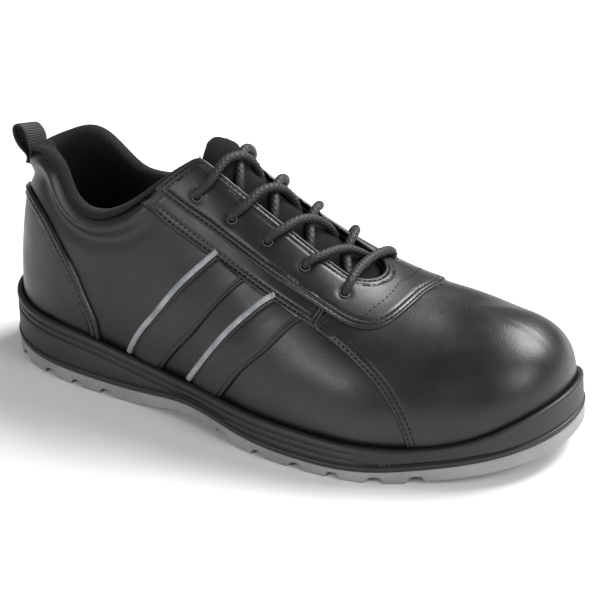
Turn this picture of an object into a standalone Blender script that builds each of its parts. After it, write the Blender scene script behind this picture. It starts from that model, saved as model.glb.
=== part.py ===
"""Right-foot safety sneaker: black leather upper, lace-up throat, padded collar, two-layer moulded sole.

Run with blender --background --python part.py, or from the text editor. Metres, +Z up, toe towards +X,
the wearer's left (the inner side of this right shoe) towards +Y. The origin is on the floor, at the
middle of the heel's flat tread.
"""

import math

import bmesh
import bpy
import numpy as np
from mathutils import Matrix, Vector

MM = 0.001

# Driving sizes of the shoe
SOLE_LENGTH = 302 * MM
BALL_WIDTH = 101 * MM
INSTEP_HEIGHT = 124 * MM
HEEL_RIM_HEIGHT = 34 * MM
COLLAR_HEIGHT = 106 * MM
HEEL_REST_AT = 45 * MM

# Walls, layers and the gaps between them
WELT = 4.5 * MM
LEATHER = 2.2 * MM
COLLAR_PAD = 7 * MM
COLLAR_PAD_DEPTH = 24 * MM
OVERLAY = 1.2 * MM
OVERLAY_LIFT = 0.6 * MM
INSOLE_THICKNESS = 4.5 * MM
TONGUE_THICKNESS = 5.5 * MM
CLEARANCE = 0.3 * MM

# Throat, eyelets and lace
THROAT_FRONT_AT = 205 * MM
THROAT_BACK_AT = 100 * MM
THROAT_WIDTH = 24 * MM
EYELET_COUNT = 5
EYELET_PITCH = 18.6 * MM
FRONT_EYELET_AT = 196 * MM
EYELET_SPREAD = 44 * MM
EYELET_HOLE = 4.6 * MM
LACE_DIAMETER = 4.4 * MM
LACE_STEP_FORWARD = 14 * MM

# Midsole side: its bands take this height under the rim, over a foot bead of this height
BAND_STACK = 8.4 * MM
WALL_FOOT = 3.8 * MM

# Tread
LUG_GAP = 8 * MM
LUG_DEPTH = 3.1 * MM
HEEL_PAD_WIDTH = 26 * MM
RIB_SPACING = 42 * MM

# Middles of the gaps between lugs, as shares of the sole's length
HEEL_NOTCHES = (0.053, 0.119, 0.179, 0.238)
FOREFOOT_GAPS = (0.480, 0.559, 0.631, 0.697, 0.763, 0.822)

# Pull loop
WEBBING_WIDTH = 14 * MM
WEBBING_THICKNESS = 1.4 * MM
LOOP_HEIGHT = 9.5 * MM
LOOP_DEPTH = 11 * MM
LOOP_SEWN = 8 * MM

# One row for each section of the last, heel to toe: place as a share of the upper's length, half widths
# and centre line as shares of the ball width, crown height as a share of the instep height, then the
# section's fullness: how far the wall rises, how far it leans out, and how far the roof runs level.
SECTIONS = [
    # at, outer, inner, centre, crown, rise, lean, roof
    (0.00, 0.000, 0.000, 0.000, 1.330, 0.50, -0.015, 0.52),
    (0.06, 0.258, 0.262, 0.000, 1.330, 0.49, -0.005, 0.47),
    (0.18, 0.350, 0.352, 0.000, 1.320, 0.47, 0.015, 0.46),
    (0.30, 0.372, 0.332, 0.000, 1.215, 0.44, 0.030, 0.51),
    (0.42, 0.422, 0.310, 0.000, 1.025, 0.44, 0.030, 0.50),
    (0.55, 0.520, 0.350, 0.008, 0.818, 0.48, 0.030, 0.52),
    (0.65, 0.556, 0.425, 0.022, 0.685, 0.55, 0.030, 0.58),
    (0.74, 0.552, 0.468, 0.042, 0.605, 0.60, 0.030, 0.62),
    (0.83, 0.465, 0.462, 0.062, 0.568, 0.64, 0.030, 0.66),
    (0.91, 0.380, 0.392, 0.078, 0.548, 0.66, 0.030, 0.69),
    (0.97, 0.250, 0.268, 0.090, 0.542, 0.66, 0.030, 0.70),
    (1.00, 0.000, 0.000, 0.095, 0.542, 0.66, 0.030, 0.70),
]
SECTION_COLUMNS = ("at", "outer", "inner", "centre", "crown", "rise", "lean", "roof")

# One row for each station of the sole's side: place as a share of the sole's length, then heights as
# shares of the rim height at the heel: tread, joint of the two layers, footbed floor, rim.
SOLE_PROFILE = [
    # at, tread, joint, floor, rim
    (0.00, 0.060, 0.275, 0.647, 1.000),
    (0.04, 0.000, 0.245, 0.647, 0.959),
    (0.20, 0.000, 0.224, 0.618, 0.876),
    (0.31, 0.020, 0.240, 0.544, 0.724),
    (0.41, 0.153, 0.318, 0.456, 0.647),
    (0.50, 0.030, 0.241, 0.368, 0.624),
    (0.62, 0.000, 0.176, 0.324, 0.594),
    (0.74, 0.000, 0.176, 0.309, 0.547),
    (0.83, 0.041, 0.241, 0.353, 0.547),
    (0.92, 0.188, 0.400, 0.485, 0.765),
    (0.97, 0.288, 0.506, 0.574, 0.971),
    (1.00, 0.353, 0.574, 0.632, 1.088),
]
PROFILE_COLUMNS = ("at", "tread", "joint", "floor", "rim")

# Collar line: place as a share of the sole's length, height as a share of the collar height.
COLLAR_LINE = [
    # at, outer, inner
    (0.00, 1.000, 1.000),
    (0.05, 1.025, 1.028),
    (0.08, 1.073, 1.056),
    (0.10, 1.090, 1.073),
    (0.12, 1.080, 1.067),
    (0.14, 1.048, 1.017),
    (0.16, 0.975, 0.935),
    (0.18, 0.925, 0.872),
    (0.21, 0.903, 0.848),
    (0.25, 0.928, 0.865),
    (0.29, 0.998, 0.923),
    (0.34, 1.117, 1.079),
    (0.38, 1.197, 1.181),
    (0.42, 1.254, 1.254),
]
COLLAR_COLUMNS = ("at", "outer", "inner")

# Overlay edges on the last, as its two parameters: along from heel to toe, up from rim to crown. The
# facing is as wide over the surface on the steep inner side as on the outer.
FACING_EDGE = [
    # along, outer, inner
    (0.360, 0.540, 0.511),
    (0.410, 0.547, 0.505),
    (0.450, 0.566, 0.497),
    (0.500, 0.583, 0.483),
    (0.550, 0.602, 0.480),
    (0.600, 0.615, 0.503),
    (0.645, 0.630, 0.550),
    (0.670, 0.677, 0.615),
    (0.692, 0.766, 0.715),
    (0.710, 0.876, 0.830),
    (0.722, 0.945, 0.935),
    (0.733, 1.000, 1.000),
]
FACING_COLUMNS = ("along", "outer", "inner")
COUNTER_EDGE = [(0.000, 0.262), (0.045, 0.276), (0.090, 0.300), (0.141, 0.304), (0.186, 0.283), (0.217, 0.250),
                (0.241, 0.214), (0.260, 0.183), (0.277, 0.148), (0.291, 0.100), (0.302, 0.062), (0.307, 0.036)]
REAR_BAR = [(0.020, 0.359, 0.405), (0.072, 0.370, 0.418), (0.164, 0.394, 0.442), (0.277, 0.420, 0.465),
            (0.385, 0.444, 0.485), (0.480, 0.463, 0.502)]
FRONT_BAR = [(0.020, 0.443, 0.489), (0.060, 0.452, 0.497), (0.150, 0.471, 0.514), (0.277, 0.496, 0.541),
             (0.393, 0.518, 0.560), (0.490, 0.535, 0.574)]
BAR_COLUMNS = ("up", "back", "front")
INNER_BAR_HEIGHT = 0.92

# How far the crown line of the closed last stops short of the toe and of the heel
CROWN_TOE_SETBACK = 50 * MM
CROWN_HEEL_SETBACK = 55 * MM
CROWN_TOE_FROM = 0.50
CROWN_HEEL_TO = 0.46
CROWN_CENTRE_SHARE = 0.8

OUTER, INNER = -1, 1
STATIONS = 34
WALL_ROWS = 8


def smooth(places, values, at):
    """Natural cubic curve through a short table, read at any places."""
    places = np.asarray(places, float)
    values = np.asarray(values, float)
    gaps = np.diff(places)
    last_row = len(places) - 1
    system = np.eye(len(places))
    right = np.zeros(len(places))
    for i in range(1, last_row):
        system[i, i - 1:i + 2] = gaps[i - 1], 2 * (gaps[i - 1] + gaps[i]), gaps[i]
        right[i] = 6 * ((values[i + 1] - values[i]) / gaps[i] - (values[i] - values[i - 1]) / gaps[i - 1])
    bend = np.linalg.solve(system, right)
    at = np.clip(np.asarray(at, float), places[0], places[-1])
    i = np.clip(np.searchsorted(places, at, side="right") - 1, 0, last_row - 1)
    before, after, gap = at - places[i], places[i + 1] - at, gaps[i]
    cubic = (bend[i] * after ** 3 + bend[i + 1] * before ** 3) / (6 * gap)
    start = (values[i] / gap - bend[i] * gap / 6) * after
    end = (values[i + 1] / gap - bend[i + 1] * gap / 6) * before
    return cubic + start + end


def table_column(rows, columns, name):
    """One named column of a table."""
    return [row[columns.index(name)] for row in rows]


def along_of(share):
    """The last's parameter at a share of its length: it slows down at the rounded heel and toe."""
    return np.arccos(1 - 2 * np.clip(share, 0, 1)) / math.pi


def section(name, along):
    """A column of the last's sections at a parameter from heel, 0, to toe, 1."""
    places = [float(along_of(at)) for at in table_column(SECTIONS, SECTION_COLUMNS, "at")]
    return smooth(places, table_column(SECTIONS, SECTION_COLUMNS, name), along)


def sole_height(name, x):
    """Height of one of the sole's side lines at x behind the toe, measured from the heel's back."""
    places = [at * SOLE_LENGTH for at in table_column(SOLE_PROFILE, PROFILE_COLUMNS, "at")]
    return smooth(places, table_column(SOLE_PROFILE, PROFILE_COLUMNS, name), x) * HEEL_RIM_HEIGHT


def outline(along, side, grow=0.0):
    """Plan of the upper's lower edge, moved outwards by grow."""
    along = np.asarray(along, float)
    x = WELT + (SOLE_LENGTH - 2 * WELT) * (1 - np.cos(math.pi * along)) / 2
    half = section("outer" if side == OUTER else "inner", along) * BALL_WIDTH
    y = section("centre", along) * BALL_WIDTH + side * half
    if grow == 0.0:
        return x, y
    step = 1e-4
    x_after, y_after = outline(np.clip(along + step, 0, 1), side)
    x_before, y_before = outline(np.clip(along - step, 0, 1), side)
    run = np.hypot(x_after - x_before, y_after - y_before)
    at_heel, at_toe = along <= 0, along >= 1
    out_x = np.where(at_heel, -1, np.where(at_toe, 1, -side * (y_after - y_before) / run))
    out_y = np.where(at_heel | at_toe, 0, side * (x_after - x_before) / run)
    return x + grow * out_x, y + grow * out_y


def crown(along):
    """Ridge line of the closed last, from over the heel to the top of the toe."""
    along = np.asarray(along, float)
    toe = (1 - np.cos(math.pi * np.clip((along - CROWN_TOE_FROM) / (1 - CROWN_TOE_FROM), 0, 1))) / 2
    heel = (1 + np.cos(math.pi * np.clip(along / CROWN_HEEL_TO, 0, 1))) / 2
    x = WELT + (SOLE_LENGTH - 2 * WELT) * (1 - np.cos(math.pi * along)) / 2
    x = x - CROWN_TOE_SETBACK * toe + CROWN_HEEL_SETBACK * heel
    y = section("centre", along) * BALL_WIDTH * CROWN_CENTRE_SHARE
    return x, y, section("crown", along) * INSTEP_HEIGHT


def last_point(along, up, side):
    """Points of the closed last: up runs from 0 at the sole's rim to 1 at the crown. Returns (..., 3)."""
    along, up = np.broadcast_arrays(np.asarray(along, float), np.asarray(up, float))
    foot_x, foot_y = outline(along, side)
    foot_z = sole_height("rim", foot_x)
    top_x, top_y, top_z = crown(along)
    step = 1e-3
    x_after, _, z_after = crown(np.clip(along + step, 0, 1))
    x_before, _, z_before = crown(np.clip(along - step, 0, 1))
    slope = np.clip((z_after - z_before) / np.maximum(x_after - x_before, 1e-7), -1.2, 1.2)
    slope = slope * np.clip(along / 0.08, 0, 1) * np.clip((1 - along) / 0.12, 0, 1)
    reach = np.hypot(foot_x - top_x, foot_y - top_y)
    out_x, out_y = (foot_x - top_x) / reach, (foot_y - top_y) / reach
    tall = top_z - foot_z
    rise, lean, roof = section("rise", along), section("lean", along), section("roof", along)
    foot = np.stack([foot_x, foot_y, foot_z], -1)
    wall = np.stack([foot_x + out_x * lean * tall, foot_y + out_y * lean * tall, foot_z + rise * tall], -1)
    run = roof * reach
    brow = np.stack([top_x + out_x * run, top_y + out_y * run, top_z + slope * out_x * run], -1)
    top = np.stack([top_x, top_y, top_z], -1)
    t = up[..., None]
    return (1 - t) ** 3 * foot + 3 * (1 - t) ** 2 * t * wall + 3 * (1 - t) * t * t * brow + t ** 3 * top


def top_of_upper(along, side):
    """Where the upper ends on each section: at the collar line, at the throat's edge, or at the crown."""
    ups = np.linspace(0, 1, 401)
    ends = []
    places = [at * SOLE_LENGTH for at in table_column(COLLAR_LINE, COLLAR_COLUMNS, "at")]
    heights = table_column(COLLAR_LINE, COLLAR_COLUMNS, "outer" if side == OUTER else "inner")
    radius = THROAT_WIDTH / 2
    for one in np.atleast_1d(along):
        points = last_point(one, ups, side)
        _, crown_y, _ = crown(one)
        end = 1.0
        over = points[:, 2] - smooth(places, heights, points[:, 0]) * COLLAR_HEIGHT
        first = int(np.argmax(over > 0))
        if over[first] > 0 and points[first, 0] < places[-1]:
            share = -over[first - 1] / (over[first] - over[first - 1])
            end = ups[first - 1] + share * (ups[1] - ups[0])
        from_front = (THROAT_FRONT_AT - points[:, 0]) / radius
        half_gap = radius * np.sqrt(np.clip(1 - np.clip(1 - from_front, 0, 1) ** 2, 0, 1))
        half_gap = np.where(points[:, 0] > THROAT_BACK_AT, half_gap, 0)
        inside = half_gap - np.abs(points[:, 1] - crown_y)
        first = int(np.argmax(inside > 0))
        if inside[first] > 0:
            share = -inside[first - 1] / (inside[first] - inside[first - 1])
            end = min(end, ups[first - 1] + share * (ups[1] - ups[0]))
        ends.append(end)
    return np.array(ends)


def throat_stations():
    """Extra stations that follow the throat's round front end."""
    dense = np.linspace(CROWN_TOE_FROM, 1, 800)
    crown_x = crown(dense)[0]
    radius = THROAT_WIDTH / 2
    angles = np.radians([0, 30, 60])
    return np.interp(THROAT_FRONT_AT - radius * (1 - np.cos(angles)), crown_x, dense)


def stations():
    """The last's stations from heel to toe, shared by the upper and its overlays."""
    even = np.linspace(0, 1, STATIONS + 1)
    extra = throat_stations()
    kept = [value for value in even if np.min(np.abs(extra - value)) > 0.006 or value in (0.0, 1.0)]
    return np.array(sorted([*kept, *extra]))


def new_object(name, mesh, material):
    """A named object in the shoe's collection, placed under the shoe's frame."""
    obj = bpy.data.objects.new(name, mesh)
    SHOE.objects.link(obj)
    obj.parent = SHOE_FRAME
    mesh.materials.clear()
    mesh.materials.append(material)
    return obj


def mesh_from_grids(name, grids):
    """One mesh from several grids of points, welded where their edges meet, faces turned outwards."""
    made = bmesh.new()
    for grid in grids:
        rows, columns = grid.shape[:2]
        verts = [[made.verts.new(point) for point in row] for row in grid]
        for i in range(rows - 1):
            for j in range(columns - 1):
                made.faces.new((verts[i][j], verts[i + 1][j], verts[i + 1][j + 1], verts[i][j + 1]))
    bmesh.ops.remove_doubles(made, verts=made.verts, dist=0.02 * MM)
    bmesh.ops.recalc_face_normals(made, faces=made.faces)
    mesh = bpy.data.meshes.new(name)
    made.to_mesh(mesh)
    made.free()
    mesh.shade_smooth()
    mesh.set_sharp_from_angle(angle=math.radians(40))
    return mesh


def turn_outwards(mesh, centre):
    """An open shell's faces are turned to look away from a point inside it."""
    made = bmesh.new()
    made.from_mesh(mesh)
    votes = sum(face.normal.dot(face.calc_center_median() - Vector(centre)) * face.calc_area()
                for face in made.faces)
    if votes < 0:
        bmesh.ops.reverse_faces(made, faces=made.faces)
    made.to_mesh(mesh)
    made.free()


def thicken(obj, thickness, outwards, group=None, thinnest=0.0):
    """Gives an open shell its wall."""
    wall = obj.modifiers.new("wall", "SOLIDIFY")
    wall.thickness = thickness
    wall.offset = 1 if outwards else -1
    if group:
        wall.vertex_group = group
        wall.thickness_vertex_group = thinnest
    return wall


def material(name, colour, roughness, metallic=0.0):
    """A plain finish."""
    made = bpy.data.materials.new(name)
    made.use_nodes = True
    shader = made.node_tree.nodes["Principled BSDF"]
    shader.inputs["Base Color"].default_value = (*colour, 1.0)
    shader.inputs["Roughness"].default_value = roughness
    shader.inputs["Metallic"].default_value = metallic
    return made


def ring(grow, height, along):
    """A closed loop round the sole: outer side heel to toe, then inner side back. height is a function of x."""
    outer_x, outer_y = outline(along, OUTER, grow)
    inner_x, inner_y = outline(along, INNER, grow)
    x = np.concatenate([outer_x, inner_x[-2:0:-1]])
    y = np.concatenate([outer_y, inner_y[-2:0:-1]])
    return np.stack([x, y, height(x)], -1)


def stack_of_rings(name, rings):
    """A closed solid from rings, first to last, with a ladder of faces over the first and the last."""
    made = bmesh.new()
    loops = [[made.verts.new(point) for point in one] for one in rings]
    count = len(loops[0])
    for low, high in zip(loops, loops[1:]):
        for i in range(count):
            j = (i + 1) % count
            made.faces.new((low[i], low[j], high[j], high[i]))
    middle = count // 2
    for loop in (loops[0], loops[-1]):
        for i in range(middle):
            near, far = loop[i:i + 2], (loop[-i % count], loop[-(i + 1) % count])
            corners = list(dict.fromkeys((near[0], near[1], far[1], far[0])))
            made.faces.new(corners)
    bmesh.ops.recalc_face_normals(made, faces=made.faces)
    mesh = bpy.data.meshes.new(name)
    made.to_mesh(mesh)
    made.free()
    mesh.shade_smooth()
    mesh.set_sharp_from_angle(angle=math.radians(35))
    return mesh


def tread_height(x):
    """Height of the tread's underside; heel and forefoot both stand on the floor."""
    return np.maximum(sole_height("tread", x), 0)


def outsole():
    """Grey tread layer: a slab from the joint down to the tread, with lugs."""
    along = np.linspace(0, 1, STATIONS + 1)
    joint = lambda x: sole_height("joint", x) - CLEARANCE
    rings = [
        ring(WELT - 0.6 * MM, joint, along),
        ring(WELT - 0.2 * MM, lambda x: joint(x) - 1.0 * MM, along),
        ring(WELT - 0.3 * MM, lambda x: tread_height(x) + 1.2 * MM, along),
        ring(WELT - 0.9 * MM, tread_height, along),
    ]
    obj = new_object("outsole", stack_of_rings("outsole", rings), GREY_RUBBER)
    cut(obj, lug_gaps())
    return obj


def groove(name, path):
    """A cutter for one gap between lugs: a bar that follows the tread, wider at the floor than at its roof."""
    path = np.asarray(path, float)
    base = tread_height(path[:, 0])
    ahead = unit(np.gradient(path, axis=0))
    across = np.stack([-ahead[:, 1], ahead[:, 0]], -1)
    rows = []
    for half, high in ((0.5, -LUG_DEPTH), (0.5, 0.0), (0.42, 0.7 * LUG_DEPTH), (0.22, LUG_DEPTH)):
        for turn in (1, -1):
            edge = path + across * turn * half * LUG_GAP
            rows.append(np.column_stack([edge, base + high]))
    loops = [rows[0], rows[2], rows[4], rows[6], rows[7], rows[5], rows[3], rows[1]]
    return cutter(name, closed_bar(name, np.stack(loops, axis=1)))


def closed_bar(name, grid):
    """A closed solid from loops of points along a path."""
    made = bmesh.new()
    loops = [[made.verts.new(point) for point in loop] for loop in grid]
    count = len(loops[0])
    for low, high in zip(loops, loops[1:]):
        for i in range(count):
            j = (i + 1) % count
            made.faces.new((low[i], low[j], high[j], high[i]))
    made.faces.new(loops[0])
    made.faces.new(loops[-1])
    bmesh.ops.recalc_face_normals(made, faces=made.faces)
    mesh = bpy.data.meshes.new(name)
    made.to_mesh(mesh)
    made.free()
    return mesh


def lug_gaps():
    """All the cutters of the tread."""
    made = []
    reach = 0.65 * BALL_WIDTH
    for number, at in enumerate(HEEL_NOTCHES):
        x = at * SOLE_LENGTH
        edge = HEEL_PAD_WIDTH / 2
        for side in (OUTER, INNER):
            made.append(groove(f"heel_notch_{number}_{side}", [(x, side * edge), (x, side * reach)]))
    for number, at in enumerate(FOREFOOT_GAPS):
        x = at * SOLE_LENGTH
        made.append(groove(f"forefoot_gap_{number}", [(x, -reach), (x, reach)]))
    first, last = FOREFOOT_GAPS[0] * SOLE_LENGTH, FOREFOOT_GAPS[-1] * SOLE_LENGTH
    for side in (OUTER, INNER):
        line = [(x, side * RIB_SPACING / 2 + 0.05 * (x - first)) for x in np.linspace(first, last, 9)]
        made.append(groove(f"long_gap_{side}", line))
    return made


def cutter(name, mesh):
    """A helper object that only cuts."""
    obj = bpy.data.objects.new(name, mesh)
    CUTTERS.objects.link(obj)
    obj.parent = SHOE_FRAME
    obj.hide_render = True
    obj.display_type = "WIRE"
    return obj


def cut(obj, cutters):
    """Cuts each helper out of the object."""
    for helper in cutters:
        boolean = obj.modifiers.new(helper.name, "BOOLEAN")
        boolean.operation = "DIFFERENCE"
        boolean.object = helper
        boolean.solver = "EXACT"


def midsole():
    """Black cushioning layer: a cup whose rim hugs the upper, with a flange, two bands and a foot bead."""
    along = np.linspace(0, 1, STATIONS + 1)
    rim = lambda x: sole_height("rim", x)
    joint = lambda x: sole_height("joint", x)
    floor = lambda x: sole_height("floor", x)
    fit = lambda x: np.minimum((rim(x) - joint(x) - WALL_FOOT) / BAND_STACK, 1)
    foot_rows = [
        # outwards from the upper, distance up from the joint
        (WELT - 0.6 * MM, 0.0),
        (WELT + 0.2 * MM, 0.7 * MM),
        (WELT + 0.2 * MM, 2.2 * MM),
        (WELT - 1.0 * MM, 3.0 * MM),
    ]
    band_rows = [
        # outwards from the upper, distance down from the rim
        (WELT - 0.4 * MM, 8.4 * MM),
        (WELT - 1.3 * MM, 7.7 * MM),
        (WELT - 0.6 * MM, 7.0 * MM),
        (WELT - 0.7 * MM, 5.0 * MM),
        (WELT - 1.7 * MM, 4.3 * MM),
        (WELT - 0.5 * MM, 3.6 * MM),
        (WELT - 0.7 * MM, 1.4 * MM),
        (WELT - 2.0 * MM, 0.2 * MM),
        (CLEARANCE + 0.9 * MM, 0.0),
        (CLEARANCE, 0.8 * MM),
    ]
    rings = [ring(grow, lambda x, up=up: joint(x) + up, along) for grow, up in foot_rows]
    rings += [ring(grow, lambda x, down=down: rim(x) - down * fit(x), along) for grow, down in band_rows]
    rings.append(ring(CLEARANCE, floor, along))
    return new_object("midsole", stack_of_rings("midsole", rings), BLACK_RUBBER)


def insole():
    """Foam footbed on the cup's floor, inside the upper's wall."""
    along = np.linspace(0, 1, STATIONS // 2 + 1)
    inset = -(LEATHER + 3 * CLEARANCE)
    floor = lambda x: sole_height("floor", x)
    rings = [
        ring(inset, lambda x: floor(x) + CLEARANCE, along),
        ring(inset, lambda x: floor(x) + INSOLE_THICKNESS - 1.0 * MM, along),
        ring(inset - 1.2 * MM, lambda x: floor(x) + INSOLE_THICKNESS, along),
    ]
    return new_object("insole", stack_of_rings("insole", rings), TEXTILE)


def wall_grid(side, along, low, high, rows):
    """Points of the last between two up values given for each station."""
    share = np.linspace(0, 1, rows + 1)
    return np.stack([last_point(one, lo + (hi - lo) * share, side) for one, lo, hi in zip(along, low, high)])


def upper():
    """The leather upper: one hollow wall, open at collar and throat above and to the sole below."""
    along = stations()
    grids = []
    for side in (OUTER, INNER):
        high = top_of_upper(along, side)
        wall = wall_grid(side, along, np.zeros(len(along)), high, WALL_ROWS)
        skirt = wall[:, :1].copy()
        skirt[:, 0, 2] = sole_height("floor", skirt[:, 0, 0]) + CLEARANCE
        grids.append(np.concatenate([skirt, wall], axis=1))
    mesh = mesh_from_grids("upper", grids)
    turn_outwards(mesh, (SOLE_LENGTH / 2, 0, INSTEP_HEIGHT / 3))
    obj = new_object("upper", mesh, BLACK_LEATHER)
    group = obj.vertex_groups.new(name="thickness")
    places = [at * SOLE_LENGTH for at in table_column(COLLAR_LINE, COLLAR_COLUMNS, "at")]
    for vert in mesh.vertices:
        heights = table_column(COLLAR_LINE, COLLAR_COLUMNS, "outer" if vert.co.y < 0 else "inner")
        below = float(smooth(places, heights, vert.co.x)) * COLLAR_HEIGHT - vert.co.z
        near = min(max(1 - below / COLLAR_PAD_DEPTH, 0), 1)
        fade = min(max((PAD_ENDS_AT - vert.co.x) / PAD_FADE, 0), 1)
        pad = (LEATHER + (COLLAR_PAD - LEATHER) * near ** 0.5 * fade) / COLLAR_PAD
        group.add([vert.index], pad, "REPLACE")
    thicken(obj, COLLAR_PAD, outwards=False, group="thickness", thinnest=0.0)
    return obj


# The collar's padding runs out towards the throat
PAD_ENDS_AT = 112 * MM
PAD_FADE = 22 * MM


def lifted(mesh, distance):
    """Moves each point of a shell along its own normal."""
    made = bmesh.new()
    made.from_mesh(mesh)
    made.normal_update()
    moves = [(vert, vert.normal.copy()) for vert in made.verts]
    for vert, normal in moves:
        vert.co += normal * distance
    made.to_mesh(mesh)
    made.free()


def overlay(name, grids, inside):
    """A leather piece that lies on the upper, cut from the upper's own form."""
    mesh = mesh_from_grids(name, grids)
    turn_outwards(mesh, inside)
    lifted(mesh, OVERLAY_LIFT)
    obj = new_object(name, mesh, BLACK_LEATHER)
    thicken(obj, OVERLAY, outwards=True)
    return obj


def facing():
    """Eyestay piece round the throat, carrying the eyelets."""
    edge_along = table_column(FACING_EDGE, FACING_COLUMNS, "along")
    along = stations()
    along = along[(along > 0.385) & (along < edge_along[-1] - 0.004)]
    grids = []
    for side in (OUTER, INNER):
        high = top_of_upper(along, side)
        high = np.where(high < 1, high - 0.012, high)
        edge_up = table_column(FACING_EDGE, FACING_COLUMNS, "outer" if side == OUTER else "inner")
        low = np.minimum(np.interp(along, edge_along, edge_up), high - 0.06)
        grids.append(wall_grid(side, along, low, high, 7))
    return overlay("facing", grids, (SOLE_LENGTH / 2, 0, INSTEP_HEIGHT / 3))


def heel_counter():
    """Stiff leather piece round the heel."""
    edge_along, edge_up = zip(*COUNTER_EDGE)
    along = stations()
    along = np.append(along[along < edge_along[-1]], edge_along[-1])
    high = np.interp(along, edge_along, edge_up)
    low = np.full(len(along), 0.015)
    grids = [wall_grid(side, along, low, high, 4) for side in (OUTER, INNER)]
    return overlay("heel_counter", grids, (0.2 * SOLE_LENGTH, 0, INSTEP_HEIGHT / 2))


def bar_top(rows, side):
    """How far up a bar runs: on the inner side the facing comes further down."""
    return rows[-1][0] * (1 if side == OUTER else INNER_BAR_HEIGHT)


def side_bar(name, rows, side):
    """One slanting bar on the quarter."""
    up = np.linspace(rows[0][0], bar_top(rows, side), 7)
    back = smooth(table_column(rows, BAR_COLUMNS, "up"), table_column(rows, BAR_COLUMNS, "back"), up)
    front = smooth(table_column(rows, BAR_COLUMNS, "up"), table_column(rows, BAR_COLUMNS, "front"), up)
    share = np.linspace(0, 1, 3)
    grid = np.stack([last_point(back + (front - back) * one, up, side) for one in share])
    return overlay(name, [grid], (0.45 * SOLE_LENGTH, 0, INSTEP_HEIGHT / 3))


def piping(name, rows, side):
    """Reflective cord along a bar's rear edge."""
    up = np.linspace(rows[0][0], bar_top(rows, side), 9)
    back = smooth(table_column(rows, BAR_COLUMNS, "up"), table_column(rows, BAR_COLUMNS, "back"), up)
    points = last_point(back, up, side)
    out = last_normal(back, up, side)
    away = unit(points - last_point(back + 0.01, up, side))
    lift = OVERLAY_LIFT + PIPING_DIAMETER / 2
    path = points + out * lift + away * (PIPING_DIAMETER / 2 + 2 * CLEARANCE)
    return new_object(name, tube(name, path, PIPING_DIAMETER / 2, 6), REFLECTIVE)


def unit(vectors):
    """Vectors at length one."""
    return vectors / np.linalg.norm(vectors, axis=-1, keepdims=True)


def last_normal(along, up, side):
    """Outward direction of the last's surface."""
    step = 1e-3
    along, up = np.broadcast_arrays(np.asarray(along, float), np.asarray(up, float))
    run = last_point(np.clip(along + step, 0, 1), up, side) - last_point(np.clip(along - step, 0, 1), up, side)
    climb = last_point(along, np.clip(up + step, 0, 1), side) - last_point(along, np.clip(up - step, 0, 1), side)
    return unit(np.cross(run, climb)) * (1 if side == OUTER else -1)


def tube(name, path, radius, sides):
    """A closed round bar along a path."""
    curve = bpy.data.curves.new(name, "CURVE")
    curve.dimensions = "3D"
    curve.bevel_depth = radius
    curve.bevel_resolution = max(sides // 2 - 2, 0)
    curve.use_fill_caps = True
    spline = curve.splines.new("POLY")
    spline.points.add(len(path) - 1)
    for knot, place in zip(spline.points, path):
        knot.co = (*place, 1.0)
    helper = bpy.data.objects.new(name + "_path", curve)
    bpy.context.scene.collection.objects.link(helper)
    bpy.context.view_layer.update()
    made = bmesh.new()
    made.from_mesh(helper.to_mesh())
    helper.to_mesh_clear()
    bpy.data.objects.remove(helper)
    bpy.data.curves.remove(curve)
    bmesh.ops.remove_doubles(made, verts=made.verts, dist=0.01 * MM)
    bmesh.ops.recalc_face_normals(made, faces=made.faces)
    mesh = bpy.data.meshes.new(name)
    made.to_mesh(mesh)
    made.free()
    mesh.shade_smooth()
    mesh.set_sharp_from_angle(angle=math.radians(50))
    return mesh


def tongue():
    """Padded tongue under the throat, thickest near its free end."""
    along = np.linspace(TONGUE_TOP, TONGUE_TOE, 12)
    edge = np.interp(along, [TONGUE_TOP, TONGUE_TOE], TONGUE_EDGE)
    grids = [wall_grid(side, along, edge, np.ones(len(along)), 5) for side in (OUTER, INNER)]
    mesh = mesh_from_grids("tongue", grids)
    turn_outwards(mesh, (0.5 * SOLE_LENGTH, 0, INSTEP_HEIGHT / 3))
    lifted(mesh, -(LEATHER + 3.5 * CLEARANCE))
    obj = new_object("tongue", mesh, TEXTILE)
    thicken(obj, TONGUE_THICKNESS, outwards=False)
    return obj


def eyelets(side):
    """Places of one side's eyelets on the last, front to back: along and up. Both rows lie as far from the
    crown over the surface."""
    places = []
    ups = np.linspace(1, 0.3, 500)
    for number in range(EYELET_COUNT):
        x = FRONT_EYELET_AT - number * EYELET_PITCH
        along = np.linspace(0.35, 0.7, 400)
        along = float(np.interp(x, crown(along)[0], along))
        outer, own = last_point(along, ups, OUTER), last_point(along, ups, side)
        away = np.interp(EYELET_SPREAD / 2, np.abs(outer[:, 1] - crown(along)[1]), arc_lengths(outer))
        places.append((along, float(np.interp(away, arc_lengths(own), ups))))
    return places


def arc_lengths(points):
    """Length run at each point of a line."""
    return np.concatenate([[0], np.cumsum(np.linalg.norm(np.diff(points, axis=0), axis=1))])


def eyelet_cutters(name):
    """Punches through the upper and its facing at each eyelet."""
    made = []
    for side in (OUTER, INNER):
        for number, (along, up) in enumerate(eyelets(side)):
            place = last_point(along, up, side)
            out = last_normal(along, up, side)
            punch = tube(f"{name}_{side}_{number}", np.stack([place - out * 6 * MM, place + out * 6 * MM]),
                         EYELET_HOLE / 2, 8)
            made.append(cutter(punch.name, punch))
    return made


def lace_point(along, up, side, lift):
    """A point over the last's surface."""
    return last_point(along, up, side) + last_normal(along, up, side) * lift


def rounded(points, count=8):
    """A smooth path through a few points."""
    points = np.asarray(points, float)
    run = np.concatenate([[0], np.cumsum(np.linalg.norm(np.diff(points, axis=0), axis=1))])
    at = np.linspace(0, run[-1], count)
    return np.stack([smooth(run, points[:, axis], at) for axis in range(3)], -1)


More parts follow.
